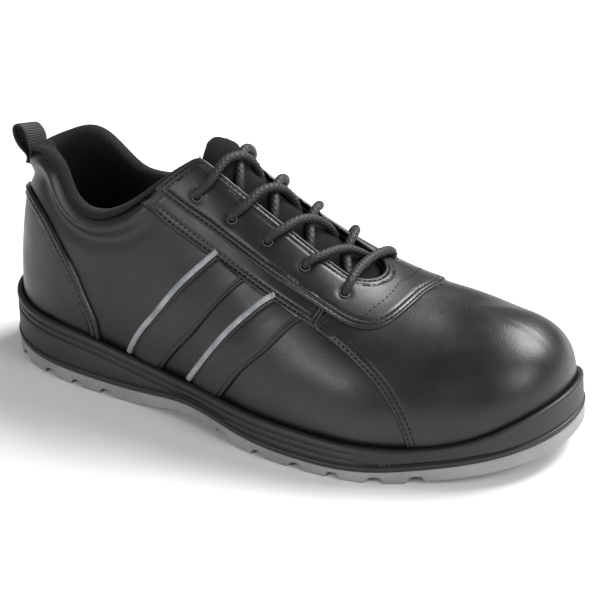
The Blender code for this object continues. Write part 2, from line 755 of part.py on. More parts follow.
def crossing_strand(from_hole, to_hole, side):
    """One strand: comes up in the gap, crosses to the other flap and ends over the next eyelet there."""
    clear = OVERLAY_LIFT + OVERLAY + LACE_DIAMETER / 2 + CLEARANCE
    (along_a, _), (along_b, up_b) = from_hole, to_hole
    start = along_a + 0.30 * (along_b - along_a)
    middle = along_a + 0.55 * (along_b - along_a)
    brow = along_a + 0.78 * (along_b - along_a)
    edge = up_b + 0.45 * (1 - up_b)
    return rounded([
        lace_point(start, 0.94, -side, 0.2 * MM),
        lace_point(middle, 1.0, side, 2.6 * MM),
        lace_point(brow, edge, side, clear + 0.2 * MM),
        lace_point(along_b, up_b, side, clear),
    ])


def laces():
    """Bar over the front pair of eyelets, then a crossing up to each further pair."""
    holes = {side: eyelets(side) for side in (OUTER, INNER)}
    clear = OVERLAY_LIFT + OVERLAY + LACE_DIAMETER / 2 + CLEARANCE
    half = [[lace_point(along, up + (1 - up) * share, side, clear + share * 0.6 * MM) for share in (0, 0.5, 1)]
            for side in (OUTER, INNER) for along, up in holes[side][:1]]
    bar = rounded(half[0] + half[1][-2::-1])
    new_object("lace_bar", tube("lace_bar", bar, LACE_DIAMETER / 2, 8), CORD)
    for number in range(1, EYELET_COUNT):
        name = f"lace_crossing_{number}"
        strands = [tube(f"{name}_{side}", crossing_strand(holes[-side][number - 1], holes[side][number], side),
                        LACE_DIAMETER / 2, 8) for side in (OUTER, INNER)]
        obj = new_object(name, strands[0], CORD)
        union = obj.modifiers.new("second_strand", "BOOLEAN")
        union.operation = "UNION"
        union.object = cutter(strands[1].name + "_strand", strands[1])
        union.solver = "EXACT"


def pull_loop():
    """Folded webbing that stands up at the heel: both legs are sewn to the collar's back, one on the other."""
    ups = np.linspace(0, 1, 200)
    heel = last_point(0.0, ups, OUTER)
    low = COLLAR_HEIGHT - LOOP_SEWN
    back_low, back = np.interp([low, COLLAR_HEIGHT - LOOP_SEWN / 2], heel[:, 2], heel[:, 0])
    inner = WEBBING_THICKNESS / 2 + CLEARANCE
    outer = inner + WEBBING_THICKNESS + CLEARANCE
    side = [
        # place along x, height
        (back_low - outer, low),
        (back - outer - CLEARANCE, low + 0.4 * LOOP_SEWN),
        (back - 0.62 * LOOP_DEPTH, COLLAR_HEIGHT - 0.05 * LOOP_HEIGHT),
        (back - 0.86 * LOOP_DEPTH, COLLAR_HEIGHT + 0.45 * LOOP_HEIGHT),
        (back - 0.80 * LOOP_DEPTH, COLLAR_HEIGHT + 0.85 * LOOP_HEIGHT),
        (back - 0.55 * LOOP_DEPTH, COLLAR_HEIGHT + LOOP_HEIGHT),
        (back - 0.25 * LOOP_DEPTH, COLLAR_HEIGHT + 0.75 * LOOP_HEIGHT),
        (back - 0.10 * LOOP_DEPTH, COLLAR_HEIGHT + 0.25 * LOOP_HEIGHT),
        (back - inner, low + 0.5 * LOOP_SEWN),
        (back_low - inner, low),
    ]
    path = rounded([(x, 0, z) for x, z in side], 27)
    half = np.array([0, WEBBING_WIDTH / 2, 0])
    grid = np.stack([path - half, path, path + half], axis=1)
    obj = new_object("pull_loop", mesh_from_grids("pull_loop", [grid]), TEXTILE)
    thicken(obj, WEBBING_THICKNESS, outwards=True).offset = 0
    return obj


PIPING_DIAMETER = 2.4 * MM
TONGUE_TOP, TONGUE_TOE = 0.425, 0.655
TONGUE_EDGE = (0.61, 0.77)


def build():
    """The whole shoe."""
    outsole()
    midsole()
    insole()
    for piece in (upper(), facing()):
        cut(piece, eyelet_cutters(piece.name + "_eyelet"))
    tongue()
    heel_counter()
    pull_loop()
    for name, side in (("outer", OUTER), ("inner", INNER)):
        side_bar(f"rear_bar_{name}", REAR_BAR, side)
        side_bar(f"front_bar_{name}", FRONT_BAR, side)
        piping(f"rear_piping_{name}", REAR_BAR, side)
        piping(f"front_piping_{name}", FRONT_BAR, side)
    laces()


for old in list(bpy.data.objects):
    bpy.data.objects.remove(old)
SHOE = bpy.data.collections.new("safety_sneaker")
CUTTERS = bpy.data.collections.new("cutters")
for collection in (SHOE, CUTTERS):
    bpy.context.scene.collection.children.link(collection)
SHOE_FRAME = bpy.data.objects.new("shoe_frame", None)
SHOE_FRAME.location = (-HEEL_REST_AT, 0, 0)
SHOE.objects.link(SHOE_FRAME)
BLACK_LEATHER = material("black_leather", (0.018, 0.017, 0.018), 0.42)
BLACK_RUBBER = material("black_rubber", (0.022, 0.020, 0.020), 0.60)
GREY_RUBBER = material("grey_rubber", (0.32, 0.33, 0.33), 0.65)
REFLECTIVE = material("silver_reflective", (0.42, 0.43, 0.44), 0.35, 0.3)
CORD = material("black_cord", (0.014, 0.014, 0.014), 0.80)
TEXTILE = material("black_textile", (0.012, 0.012, 0.012), 0.90)
build()
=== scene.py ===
"""Right-foot safety sneaker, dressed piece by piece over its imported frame. Metres, +Z up, toe towards +X."""

import math

import bmesh
import bpy
import numpy as np
from mathutils import Matrix, Vector
from mathutils.kdtree import KDTree


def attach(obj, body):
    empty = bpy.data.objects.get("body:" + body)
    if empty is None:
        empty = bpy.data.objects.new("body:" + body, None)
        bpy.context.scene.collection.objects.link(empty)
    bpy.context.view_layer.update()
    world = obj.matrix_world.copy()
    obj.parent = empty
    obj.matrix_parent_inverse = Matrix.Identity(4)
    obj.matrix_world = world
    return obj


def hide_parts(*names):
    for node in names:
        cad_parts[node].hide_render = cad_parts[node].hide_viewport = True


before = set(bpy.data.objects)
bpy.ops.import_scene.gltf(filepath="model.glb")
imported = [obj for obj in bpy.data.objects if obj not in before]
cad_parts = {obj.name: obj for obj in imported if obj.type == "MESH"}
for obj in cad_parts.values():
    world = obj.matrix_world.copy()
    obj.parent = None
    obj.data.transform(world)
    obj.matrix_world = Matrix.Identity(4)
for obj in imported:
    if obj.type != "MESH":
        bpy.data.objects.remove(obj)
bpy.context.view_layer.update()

# Camera: a long lens two metres away, in front of the shoe's outer side and above it. It is rolled a few
# degrees, as the photograph is.
VIEW_AZIMUTH, VIEW_ELEVATION, VIEW_ROLL = (math.radians(value) for value in (33.0, 28.7, -3.2))
VIEW_DISTANCE = 2.0
VIEW_LENS = 250.8
back = Vector((math.sin(VIEW_AZIMUTH) * math.cos(VIEW_ELEVATION),
               -math.cos(VIEW_AZIMUTH) * math.cos(VIEW_ELEVATION), math.sin(VIEW_ELEVATION)))
level = Vector((math.cos(VIEW_AZIMUTH), math.sin(VIEW_AZIMUTH), 0))
rise = back.cross(level)
right = level * math.cos(VIEW_ROLL) + rise * math.sin(VIEW_ROLL)
above = rise * math.cos(VIEW_ROLL) - level * math.sin(VIEW_ROLL)
look_at = Vector((0.105, 0, 0.050)) + right * 0.0090 + above * 0.0019
camera = bpy.data.objects.new("camera", bpy.data.cameras.new("camera"))
camera.data.lens = VIEW_LENS
camera.data.sensor_width = 36
camera.data.clip_end = 20
camera.matrix_world = Matrix.Translation(look_at + back * VIEW_DISTANCE) @ Matrix(
    (right, above, back)).transposed().to_4x4()
bpy.context.scene.collection.objects.link(camera)
bpy.context.scene.camera = camera

# Lining: the shoe's inside, black knitted cloth over foam. It rolls out over the collar's crest, where
# the leather is sewn to it just below, and runs down inside the wall to the footbed.
MM = 0.001
OUTER, INNER = -1, 1
SOLE_LENGTH = 302 * MM
BALL_WIDTH = 101 * MM
INSTEP_HEIGHT = 124 * MM
HEEL_RIM_HEIGHT = 34 * MM
COLLAR_HEIGHT = 106 * MM
HEEL_REST_AT = 45 * MM
WELT = 4.5 * MM
LEATHER = 2.2 * MM
CLEARANCE = 0.3 * MM
THROAT_FRONT_AT = 205 * MM
THROAT_BACK_AT = 100 * MM
THROAT_WIDTH = 24 * MM
CROWN_TOE_SETBACK = 50 * MM
CROWN_HEEL_SETBACK = 55 * MM
CROWN_TOE_FROM = 0.50
CROWN_HEEL_TO = 0.46
CROWN_CENTRE_SHARE = 0.8
SECTIONS = [
    # at, outer, inner, centre, crown, rise, lean, roof
    (0.00, 0.000, 0.000, 0.000, 1.330, 0.50, -0.015, 0.52),
    (0.06, 0.258, 0.262, 0.000, 1.330, 0.49, -0.005, 0.47),
    (0.18, 0.350, 0.352, 0.000, 1.320, 0.47, 0.015, 0.46),
    (0.30, 0.372, 0.332, 0.000, 1.215, 0.44, 0.030, 0.51),
    (0.42, 0.422, 0.310, 0.000, 1.025, 0.44, 0.030, 0.50),
    (0.55, 0.520, 0.350, 0.008, 0.818, 0.48, 0.030, 0.52),
    (0.65, 0.556, 0.425, 0.022, 0.685, 0.55, 0.030, 0.58),
    (0.74, 0.552, 0.468, 0.042, 0.605, 0.60, 0.030, 0.62),
    (0.83, 0.465, 0.462, 0.062, 0.568, 0.64, 0.030, 0.66),
    (0.91, 0.380, 0.392, 0.078, 0.548, 0.66, 0.030, 0.69),
    (0.97, 0.250, 0.268, 0.090, 0.542, 0.66, 0.030, 0.70),
    (1.00, 0.000, 0.000, 0.095, 0.542, 0.66, 0.030, 0.70),
]
SECTION_COLUMNS = ("at", "outer", "inner", "centre", "crown", "rise", "lean", "roof")
SOLE_PROFILE = [
    # at, tread, joint, floor, rim
    (0.00, 0.060, 0.275, 0.647, 1.000),
    (0.04, 0.000, 0.245, 0.647, 0.959),
    (0.20, 0.000, 0.224, 0.618, 0.876),
    (0.31, 0.020, 0.240, 0.544, 0.724),
    (0.41, 0.153, 0.318, 0.456, 0.647),
    (0.50, 0.030, 0.241, 0.368, 0.624),
    (0.62, 0.000, 0.176, 0.324, 0.594),
    (0.74, 0.000, 0.176, 0.309, 0.547),
    (0.83, 0.041, 0.241, 0.353, 0.547),
    (0.92, 0.188, 0.400, 0.485, 0.765),
    (0.97, 0.288, 0.506, 0.574, 0.971),
    (1.00, 0.353, 0.574, 0.632, 1.088),
]
PROFILE_COLUMNS = ("at", "tread", "joint", "floor", "rim")
COLLAR_LINE = [
    # at, outer, inner
    (0.00, 1.000, 1.000),
    (0.05, 1.025, 1.028),
    (0.08, 1.073, 1.056),
    (0.10, 1.090, 1.073),
    (0.12, 1.080, 1.067),
    (0.14, 1.048, 1.017),
    (0.16, 0.975, 0.935),
    (0.18, 0.925, 0.872),
    (0.21, 0.903, 0.848),
    (0.25, 0.928, 0.865),
    (0.29, 0.998, 0.923),
    (0.34, 1.117, 1.079),
    (0.38, 1.197, 1.181),
    (0.42, 1.254, 1.254),
]
COLLAR_COLUMNS = ("at", "outer", "inner")


def smooth(places, values, at):
    """Natural cubic curve through a short table, read at any places."""
    places = np.asarray(places, float)
    values = np.asarray(values, float)
    gaps = np.diff(places)
    last_row = len(places) - 1
    system = np.eye(len(places))
    target = np.zeros(len(places))
    for i in range(1, last_row):
        system[i, i - 1:i + 2] = gaps[i - 1], 2 * (gaps[i - 1] + gaps[i]), gaps[i]
        target[i] = 6 * ((values[i + 1] - values[i]) / gaps[i] - (values[i] - values[i - 1]) / gaps[i - 1])
    bend = np.linalg.solve(system, target)
    at = np.clip(np.asarray(at, float), places[0], places[-1])
    i = np.clip(np.searchsorted(places, at, side="right") - 1, 0, last_row - 1)
    before, after, gap = at - places[i], places[i + 1] - at, gaps[i]
    cubic = (bend[i] * after ** 3 + bend[i + 1] * before ** 3) / (6 * gap)
    start = (values[i] / gap - bend[i] * gap / 6) * after
    end = (values[i + 1] / gap - bend[i + 1] * gap / 6) * before
    return cubic + start + end


def table_column(rows, columns, name):
    """One named column of a table."""
    return [row[columns.index(name)] for row in rows]


def along_of(share):
    """The last's parameter at a share of its length."""
    return np.arccos(1 - 2 * np.clip(share, 0, 1)) / math.pi


def section(name, along):
    """A column of the last's sections at a parameter from heel, 0, to toe, 1."""
    places = [float(along_of(at)) for at in table_column(SECTIONS, SECTION_COLUMNS, "at")]
    return smooth(places, table_column(SECTIONS, SECTION_COLUMNS, name), along)


def sole_height(name, x):
    """Height of one of the sole's side lines at x, measured from the heel's back."""
    places = [at * SOLE_LENGTH for at in table_column(SOLE_PROFILE, PROFILE_COLUMNS, "at")]
    return smooth(places, table_column(SOLE_PROFILE, PROFILE_COLUMNS, name), x) * HEEL_RIM_HEIGHT


def outline(along, side, grow=0.0):
    """Plan of the upper's lower edge, moved outwards by grow."""
    along = np.asarray(along, float)
    x = WELT + (SOLE_LENGTH - 2 * WELT) * (1 - np.cos(math.pi * along)) / 2
    half = section("outer" if side == OUTER else "inner", along) * BALL_WIDTH
    y = section("centre", along) * BALL_WIDTH + side * half
    if np.ndim(grow) == 0 and grow == 0.0:
        return x, y
    step = 1e-4
    x_after, y_after = outline(np.clip(along + step, 0, 1), side)
    x_before, y_before = outline(np.clip(along - step, 0, 1), side)
    run = np.hypot(x_after - x_before, y_after - y_before)
    at_heel, at_toe = along <= 0, along >= 1
    out_x = np.where(at_heel, -1, np.where(at_toe, 1, -side * (y_after - y_before) / run))
    out_y = np.where(at_heel | at_toe, 0, side * (x_after - x_before) / run)
    return x + grow * out_x, y + grow * out_y


def crown(along):
    """Ridge line of the closed last, from over the heel to the top of the toe."""
    along = np.asarray(along, float)
    toe = (1 - np.cos(math.pi * np.clip((along - CROWN_TOE_FROM) / (1 - CROWN_TOE_FROM), 0, 1))) / 2
    heel = (1 + np.cos(math.pi * np.clip(along / CROWN_HEEL_TO, 0, 1))) / 2
    x = WELT + (SOLE_LENGTH - 2 * WELT) * (1 - np.cos(math.pi * along)) / 2
    x = x - CROWN_TOE_SETBACK * toe + CROWN_HEEL_SETBACK * heel
    y = section("centre", along) * BALL_WIDTH * CROWN_CENTRE_SHARE
    return x, y, section("crown", along) * INSTEP_HEIGHT


def last_point(along, up, side):
    """Points of the closed last: up runs from 0 at the sole's rim to 1 at the crown."""
    along, up = np.broadcast_arrays(np.asarray(along, float), np.asarray(up, float))
    foot_x, foot_y = outline(along, side)
    foot_z = sole_height("rim", foot_x)
    top_x, top_y, top_z = crown(along)
    step = 1e-3
    x_after, _, z_after = crown(np.clip(along + step, 0, 1))
    x_before, _, z_before = crown(np.clip(along - step, 0, 1))
    slope = np.clip((z_after - z_before) / np.maximum(x_after - x_before, 1e-7), -1.2, 1.2)
    slope = slope * np.clip(along / 0.08, 0, 1) * np.clip((1 - along) / 0.12, 0, 1)
    reach = np.hypot(foot_x - top_x, foot_y - top_y)
    out_x, out_y = (foot_x - top_x) / reach, (foot_y - top_y) / reach
    tall = top_z - foot_z
    lift, lean, roof = section("rise", along), section("lean", along), section("roof", along)
    foot = np.stack([foot_x, foot_y, foot_z], -1)
    wall = np.stack([foot_x + out_x * lean * tall, foot_y + out_y * lean * tall, foot_z + lift * tall], -1)
    run = roof * reach
    brow = np.stack([top_x + out_x * run, top_y + out_y * run, top_z + slope * out_x * run], -1)
    top = np.stack([top_x, top_y, top_z], -1)
    t = up[..., None]
    return (1 - t) ** 3 * foot + 3 * (1 - t) ** 2 * t * wall + 3 * (1 - t) * t * t * brow + t ** 3 * top


def unit(vectors):
    """Vectors at length one."""
    return vectors / np.maximum(np.linalg.norm(vectors, axis=-1, keepdims=True), 1e-12)


def arc_lengths(points):
    """Length run at each point of a line."""
    return np.concatenate([[0], np.cumsum(np.linalg.norm(np.diff(points, axis=0), axis=1))])


def ease(share):
    """A soft step from 0 to 1."""
    share = np.clip(share, 0, 1)
    return share * share * (3 - 2 * share)


def side_normal(along, up, side):
    """Outward direction of one side of the last."""
    step = 2e-3
    ahead, behind = (np.clip(along + move, 0, 1) for move in (step, -step))
    higher, lower = (np.clip(up + move, 0, 1) for move in (step, -step))
    run = last_point(ahead, up, side) - last_point(behind, up, side)
    climb = last_point(along, higher, side) - last_point(along, lower, side)
    return unit(np.cross(run, climb)) * (1 if side == OUTER else -1)


def last_normal(along, up, side):
    """Outward direction of the last, the same from both sides where they meet at heel, toe and crown."""
    along, up = np.broadcast_arrays(np.asarray(along, float), np.asarray(up, float))
    at_crown, at_heel, at_toe = ease((up - 0.90) / 0.10), ease(1 - along / 0.03), ease((along - 0.97) / 0.03)
    meeting = np.maximum.reduce([at_crown, at_heel, at_toe])
    return unit(side_normal(along, up, side) + meeting[..., None] * side_normal(along, up, -side))


def point_at(uv, side):
    """Points of the closed last at pairs of its two parameters."""
    return last_point(uv[..., 0], uv[..., 1], side)


def normal_at(uv, side):
    """Outward directions of the last at pairs of its two parameters."""
    return last_normal(uv[..., 0], uv[..., 1], side)


def top_of_upper(along, side):
    """Where the upper ends on each section: at the collar line, at the throat's edge, or at the crown."""
    ups = np.linspace(0, 1, 401)
    ends = []
    places = [at * SOLE_LENGTH for at in table_column(COLLAR_LINE, COLLAR_COLUMNS, "at")]
    heights = table_column(COLLAR_LINE, COLLAR_COLUMNS, "outer" if side == OUTER else "inner")
    radius = THROAT_WIDTH / 2
    for one in np.atleast_1d(along):
        points = last_point(one, ups, side)
        _, crown_y, _ = crown(one)
        end = 1.0
        over = points[:, 2] - smooth(places, heights, points[:, 0]) * COLLAR_HEIGHT
        first = int(np.argmax(over > 0))
        if over[first] > 0 and points[first, 0] < places[-1]:
            share = -over[first - 1] / (over[first] - over[first - 1])
            end = ups[first - 1] + share * (ups[1] - ups[0])
        from_front = (THROAT_FRONT_AT - points[:, 0]) / radius
        half_gap = radius * np.sqrt(np.clip(1 - np.clip(1 - from_front, 0, 1) ** 2, 0, 1))
        half_gap = np.where(points[:, 0] > THROAT_BACK_AT, half_gap, 0)
        inside = half_gap - np.abs(points[:, 1] - crown_y)
        first = int(np.argmax(inside > 0))
        if inside[first] > 0:
            share = -inside[first - 1] / (inside[first] - inside[first - 1])
            end = min(end, ups[first - 1] + share * (ups[1] - ups[0]))
        ends.append(end)
    return np.array(ends)


# The upper's edge, read once: rounded where the collar turns into the throat.
EDGE_AT = np.linspace(0, 1, 1001)
UPPER_EDGE = {}
for one_side in (OUTER, INNER):
    raw = top_of_upper(EDGE_AT, one_side)
    kernel = np.exp(-0.5 * (np.arange(-20, 21) / 6.0) ** 2)
    soft = np.convolve(np.pad(raw, 20, mode="edge"), kernel / kernel.sum(), mode="valid")
    corner = ease((EDGE_AT - 0.40) / 0.02) * ease((0.50 - EDGE_AT) / 0.03)
    UPPER_EDGE[one_side] = raw + (np.minimum(soft, raw) - raw) * corner


def upper_edge(along, side):
    """Height of the upper's edge as the last's own parameter."""
    return np.interp(along, EDGE_AT, UPPER_EDGE[side])


def mesh_from_grids(name, grids, weld=0.02 * MM):
    """One mesh from grids of points, each given as (points, uv or None, flip), welded where they meet."""
    verts, faces, uvs = [], [], []
    start = 0
    for points, uv, flip in grids:
        rows, columns = points.shape[:2]
        index = start + np.arange(rows * columns).reshape(rows, columns)
        quads = np.stack([index[:-1, :-1], index[1:, :-1], index[1:, 1:], index[:-1, 1:]], -1).reshape(-1, 4)
        faces.append(quads[:, ::-1] if flip else quads)
        verts.append(points.reshape(-1, 3) - np.array([HEEL_REST_AT, 0, 0]))
        uvs.append(np.zeros((rows * columns, 2)) if uv is None else uv.reshape(-1, 2))
        start += rows * columns
    verts, faces, uvs = np.concatenate(verts), np.concatenate(faces), np.concatenate(uvs)
    mesh = bpy.data.meshes.new(name)
    mesh.from_pydata(verts.tolist(), [], faces.tolist())
    layer = mesh.uv_layers.new(name="UVMap")
    layer.data.foreach_set("uv", uvs[faces.ravel()].ravel())
    made = bmesh.new()
    made.from_mesh(mesh)
    bmesh.ops.remove_doubles(made, verts=made.verts, dist=weld)
    bmesh.ops.dissolve_degenerate(made, edges=made.edges, dist=0.005 * MM)
    made.to_mesh(mesh)
    made.free()
    mesh.shade_smooth()
    return mesh


def add_piece(name, mesh, material, slot, *nodes):
    """Links a piece, gives it its finish and its body, and lets it stand for its CAD nodes."""
    piece = bpy.data.objects.new(name, mesh)
    bpy.context.scene.collection.objects.link(piece)
    mesh.materials.clear()
    mesh.materials.append(material)
    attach(piece, "root")
    if nodes:
        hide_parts(*nodes)
    return piece


def finish_of(name, colour, roughness, **sockets):
    """A material with its plain sockets set. Returns it with its tree and its shader."""
    made = bpy.data.materials.new(name)
    made.use_nodes = True
    shader = made.node_tree.nodes["Principled BSDF"]
    shader.inputs["Base Color"].default_value = (*colour, 1.0)
    shader.inputs["Roughness"].default_value = roughness
    for socket, value in sockets.items():
        shader.inputs[socket.replace("_", " ")].default_value = value
    return made, made.node_tree, shader


def add_node(tree, kind, inputs=None, **settings):
    """A node with its settings, and its inputs set or linked by name or number."""
    node = tree.nodes.new(kind)
    for key, value in settings.items():
        setattr(node, key, value)
    for key, value in (inputs or {}).items():
        if isinstance(value, bpy.types.NodeSocket):
            tree.links.new(value, node.inputs[key])
        else:
            node.inputs[key].default_value = value
    return node


def mixed_colour(tree, share, dark, light):
    """A colour between two, by a share from a node."""
    ramp = add_node(tree, "ShaderNodeMix", {"Factor": share}, data_type="RGBA")
    ramp.inputs[6].default_value = (*dark, 1.0)
    ramp.inputs[7].default_value = (*light, 1.0)
    return ramp.outputs[2]


def noise(tree, scale, detail):
    """Noise over the piece's own place, as a value near 0.5."""
    place = add_node(tree, "ShaderNodeTexCoord").outputs["Object"]
    inputs = {"Vector": place, "Scale": scale, "Detail": detail}
    return add_node(tree, "ShaderNodeTexNoise", inputs).outputs[0]


def bumped(tree, shader, height, strength, distance, below=None):
    """Raises the surface's normal by a height from a node, over another bump if one is given."""
    inputs = {"Height": height, "Strength": strength, "Distance": distance}
    if below is not None:
        inputs["Normal"] = below
    normal = add_node(tree, "ShaderNodeBump", inputs).outputs["Normal"]
    tree.links.new(normal, shader.inputs["Normal"])
    return normal


def coloured(tree, shader, share, dark, light):
    """Lets the base colour go from dark to light with a value from a node."""
    tree.links.new(mixed_colour(tree, share, dark, light), shader.inputs["Base Color"])


def waved(tree, value, length):
    """A sine over a coordinate, with a given wave length."""
    turn = add_node(tree, "ShaderNodeMath", {0: value, 1: 2 * math.pi / length}, operation="MULTIPLY")
    return add_node(tree, "ShaderNodeMath", {0: turn.outputs[0]}, operation="SINE").outputs[0]


def added(tree, first, second, share):
    """A first value plus a share of a second."""
    inputs = {0: second, 1: share, 2: first}
    return add_node(tree, "ShaderNodeMath", inputs, operation="MULTIPLY_ADD").outputs[0]


def ranged(tree, value, low, high, to_low, to_high):
    """A value carried from one range to another."""
    made = add_node(tree, "ShaderNodeMapRange", {"Value": value})
    for key, number in zip(("From Min", "From Max", "To Min", "To Max"), (low, high, to_low, to_high)):
        made.inputs[key].default_value = number
    return made.outputs["Result"]


def knit_material(name, dark, light, rib, wale):
    """Fine rib knit: ridges by the piece's own map, in metres along and across. Its colour is painted shade:
    darker in the hollows between the ridges, lighter on their tops.
    """
    made, tree, shader = finish_of(name, light, 0.92, Sheen_Weight=0.12, Sheen_Roughness=0.5)
    shader.inputs["Sheen Tint"].default_value = (0.5, 0.5, 0.52, 1.0)
    shader.inputs["Specular IOR Level"].default_value = 0.25
    uv = add_node(tree, "ShaderNodeUVMap", uv_map="UVMap").outputs["UV"]
    split = add_node(tree, "ShaderNodeSeparateXYZ", {"Vector": uv})
    height = added(tree, waved(tree, split.outputs["X"], rib), waved(tree, split.outputs["Y"], wale), 0.35)
    height = added(tree, height, noise(tree, 900.0, 3.0), 1.1)
    # Colour from the rib height: painted shade in the hollows between ribs and a lighter tone on their tops,
    # plus random tone from the noise.
    coloured(tree, shader, ranged(tree, height, -0.6, 1.9, 0.0, 1.0), dark, light)
    bumped(tree, shader, height, 0.8, 0.22 * MM)
    return made


def rows_below(along, side, depths):
    """The last's parameter at given distances down from the upper's edge, for each station."""
    places = []
    for one, end in zip(along, upper_edge(along, side)):
        ups = np.linspace(end, 0, 160)
        line = last_point(one, ups, side)
        run = arc_lengths(line)
        places.append(np.interp(depths, run, ups))
    return np.array(places)


COLLAR_ROLL = [
    # inwards from the leather's face, down from the crest
    (-0.3, 4.2), (0.0, 3.2), (0.5, 2.1), (1.3, 1.1), (2.4, 0.35), (3.6, 0.0), (4.9, 0.2), (6.1, 0.9),
    (7.0, 2.0), (7.5, 3.4), (7.7, 5.2), (7.7, 8.0), (7.5, 12.0), (7.0, 17.0), (6.2, 23.0), (5.2, 32.0),
    (4.2, 44.0), (3.4, 60.0), (2.9, 80.0),
]
PADDING_ENDS_AT = 112 * MM
THIN_EDGE = (0.6, 0.6, 0.8, 1.0, 1.3, 1.7, 2.0, 2.2, 2.3, 2.4, 2.5, 2.5, 2.5, 2.5, 2.5, 2.5, 2.5, 2.5, 2.5)
KNIT = knit_material("black_knit", (0.004, 0.004, 0.004), (0.014, 0.014, 0.0145), 0.95 * MM, 0.7 * MM)
lining_at = np.concatenate([np.linspace(0, 0.56, 300), np.linspace(0.56, 1.0, 90)[1:]])
grids = []
for side in (OUTER, INNER):
    depth = np.array([row[1] for row in COLLAR_ROLL]) * MM
    ups = rows_below(lining_at, side, depth)
    base = last_point(lining_at[:, None], ups, side)
    edge = base[:, 5]
    pad = ease((PADDING_ENDS_AT - edge[:, 0]) / (26 * MM))[:, None]
    inwards = (np.array([row[0] for row in COLLAR_ROLL]) * pad + np.array(THIN_EDGE) * (1 - pad)) * MM
    points = base - last_normal(lining_at[:, None], ups, side) * inwards[..., None]
    floor_x, floor_y = outline(lining_at, side, -3.0 * MM)
    floor = np.stack([floor_x, floor_y, sole_height("floor", floor_x) + 2 * MM], -1)
    points = np.concatenate([points, (points[:, -1:] + floor[:, None]) / 2, floor[:, None]], axis=1)
    across = np.concatenate([depth, [depth[-1] + 10 * MM, depth[-1] + 20 * MM]])
    uv = np.stack(np.broadcast_arrays(arc_lengths(edge)[:, None], across[None]), -1)
    grids.append((points, uv, side == OUTER))
lining = add_piece("lining", mesh_from_grids("lining", grids), KNIT, "textile")

# Quarters: the lowest leather layer, smooth black side leather over a soft layer. Below the collar the
# padding swells it into a roll with a shallow valley under it. Its foot goes down inside the sole's cup.
FINE = np.array([0, 0.2, 0.45, 0.75, 1.1, 1.5, 1.9, 2.35, 2.8, 3.3, 3.9, 4.6, 5.4, 6.4]) * MM


def leather_material(name, dark, light, gloss_low, gloss_high, grain):
    """Finished side leather: fine pebble grain, soft creases and a gloss that wanders a little."""
    made, tree, shader = finish_of(name, light, 0.4)
    shader.inputs["Specular IOR Level"].default_value = 0.5
    place = add_node(tree, "ShaderNodeTexCoord").outputs["Object"]
    cells = add_node(tree, "ShaderNodeTexVoronoi", {"Vector": place, "Scale": 1150.0})
    broad = noise(tree, 26.0, 3.0)
    coloured(tree, shader, ranged(tree, broad, 0.3, 0.7, 0, 1), dark, light)
    cloud = noise(tree, 70.0, 5.0)
    tree.links.new(ranged(tree, cloud, 0.3, 0.7, gloss_low, gloss_high), shader.inputs["Roughness"])
    pebbles = added(tree, cells.outputs["Distance"], noise(tree, 620.0, 4.0), 1.0)
    bumped(tree, shader, broad, 0.5, 0.9 * MM, bumped(tree, shader, pebbles, 0.5, grain))
    return made


def line_on(side, knots):
    """A smooth line on the last through a few places, read by its share of true length."""
    knots = np.asarray(knots, float)
    places = point_at(knots, side)
    run = np.concatenate([[0], np.cumsum(np.maximum(np.linalg.norm(np.diff(places, axis=0), axis=1), 1e-6))])
    dense = np.linspace(0, run[-1], 600)
    curve = np.stack([smooth(run, knots[:, 0], dense), smooth(run, knots[:, 1], dense)], -1)
    curve[:, 0] = np.clip(curve[:, 0], 0, 1)
    curve[:, 1] = np.clip(curve[:, 1], 0, 1)
    return true_length_line(side, curve)


def true_length_line(side, curve):
    """A line on the last given by many places, read by its share of true length."""
    places = point_at(curve, side)
    run = arc_lengths(places)

    def read(share):
        share = np.asarray(share) * run[-1]
        return np.stack([np.interp(share, run, curve[:, 0]), np.interp(share, run, curve[:, 1])], -1)
    read.length = run[-1]
    return read


def edge_line(side, start, end):
    """The upper's own edge between two stations."""
    along = np.linspace(start, end, 500)
    return true_length_line(side, np.stack([along, upper_edge(along, side)], -1))


def spread(width, step, inner=None):
    """Row places across each width: close together near both edges, even between."""
    width = np.atleast_1d(width)
    inner = inner or max(int((width.max() - 2 * FINE[-1]) / step), 2)
    fine = FINE[None] * np.minimum(1, width / (2.6 * FINE[-1]))[:, None] / np.maximum(width, 1e-5)[:, None]
    middle = fine[:, -1:] + (1 - 2 * fine[:, -1:]) * np.linspace(0, 1, inner + 2)[1:-1]
    return np.concatenate([fine, middle, (1 - fine)[:, ::-1]], axis=1)


def patch(side, bottom, top, left, right, step, shared=None):
    """Stations and rows between four lines on the last: the places as its two parameters. What both sides
    of a piece share is kept with the first side, so that they meet point on point."""
    shared = {} if shared is None else shared
    s = shared.setdefault("s", spread((bottom.length + top.length) / 2, step)[0])
    low, high = bottom(s), top(s)
    width = np.linalg.norm(point_at(high, side) - point_at(low, side),
                           axis=-1)
    count = shared.setdefault("count", max(int((width.max() - 2 * FINE[-1]) / step), 2))
    t = spread(np.maximum(width, 2 * MM), step, count)[:, :, None]
    s = s[:, None, None]
    low, high = low[:, None], high[:, None]
    corners = ((1 - s) * (1 - t) * bottom(0.0) + s * (1 - t) * bottom(1.0)
               + (1 - s) * t * top(0.0) + s * t * top(1.0))
    grid = ((1 - t) * low + t * high + (1 - s) * left(t[..., 0]) + s * right(t[..., 0]) - corners)
    return np.clip(grid, 0, 1)


def distances(points, lines, side):
    """How far each point lies from the nearest of some lines on the last."""
    samples = []
    for line in lines:
        places = line(np.linspace(0, 1, max(int(line.length / (0.3 * MM)), 8)))
        samples.append(point_at(places, side))
    samples = np.concatenate(samples)
    tree = KDTree(len(samples))
    for number, sample in enumerate(samples):
        tree.insert(sample, number)
    tree.balance()
    flat = points.reshape(-1, 3)
    return np.array([tree.find(point)[2] for point in flat]).reshape(points.shape[:-1])


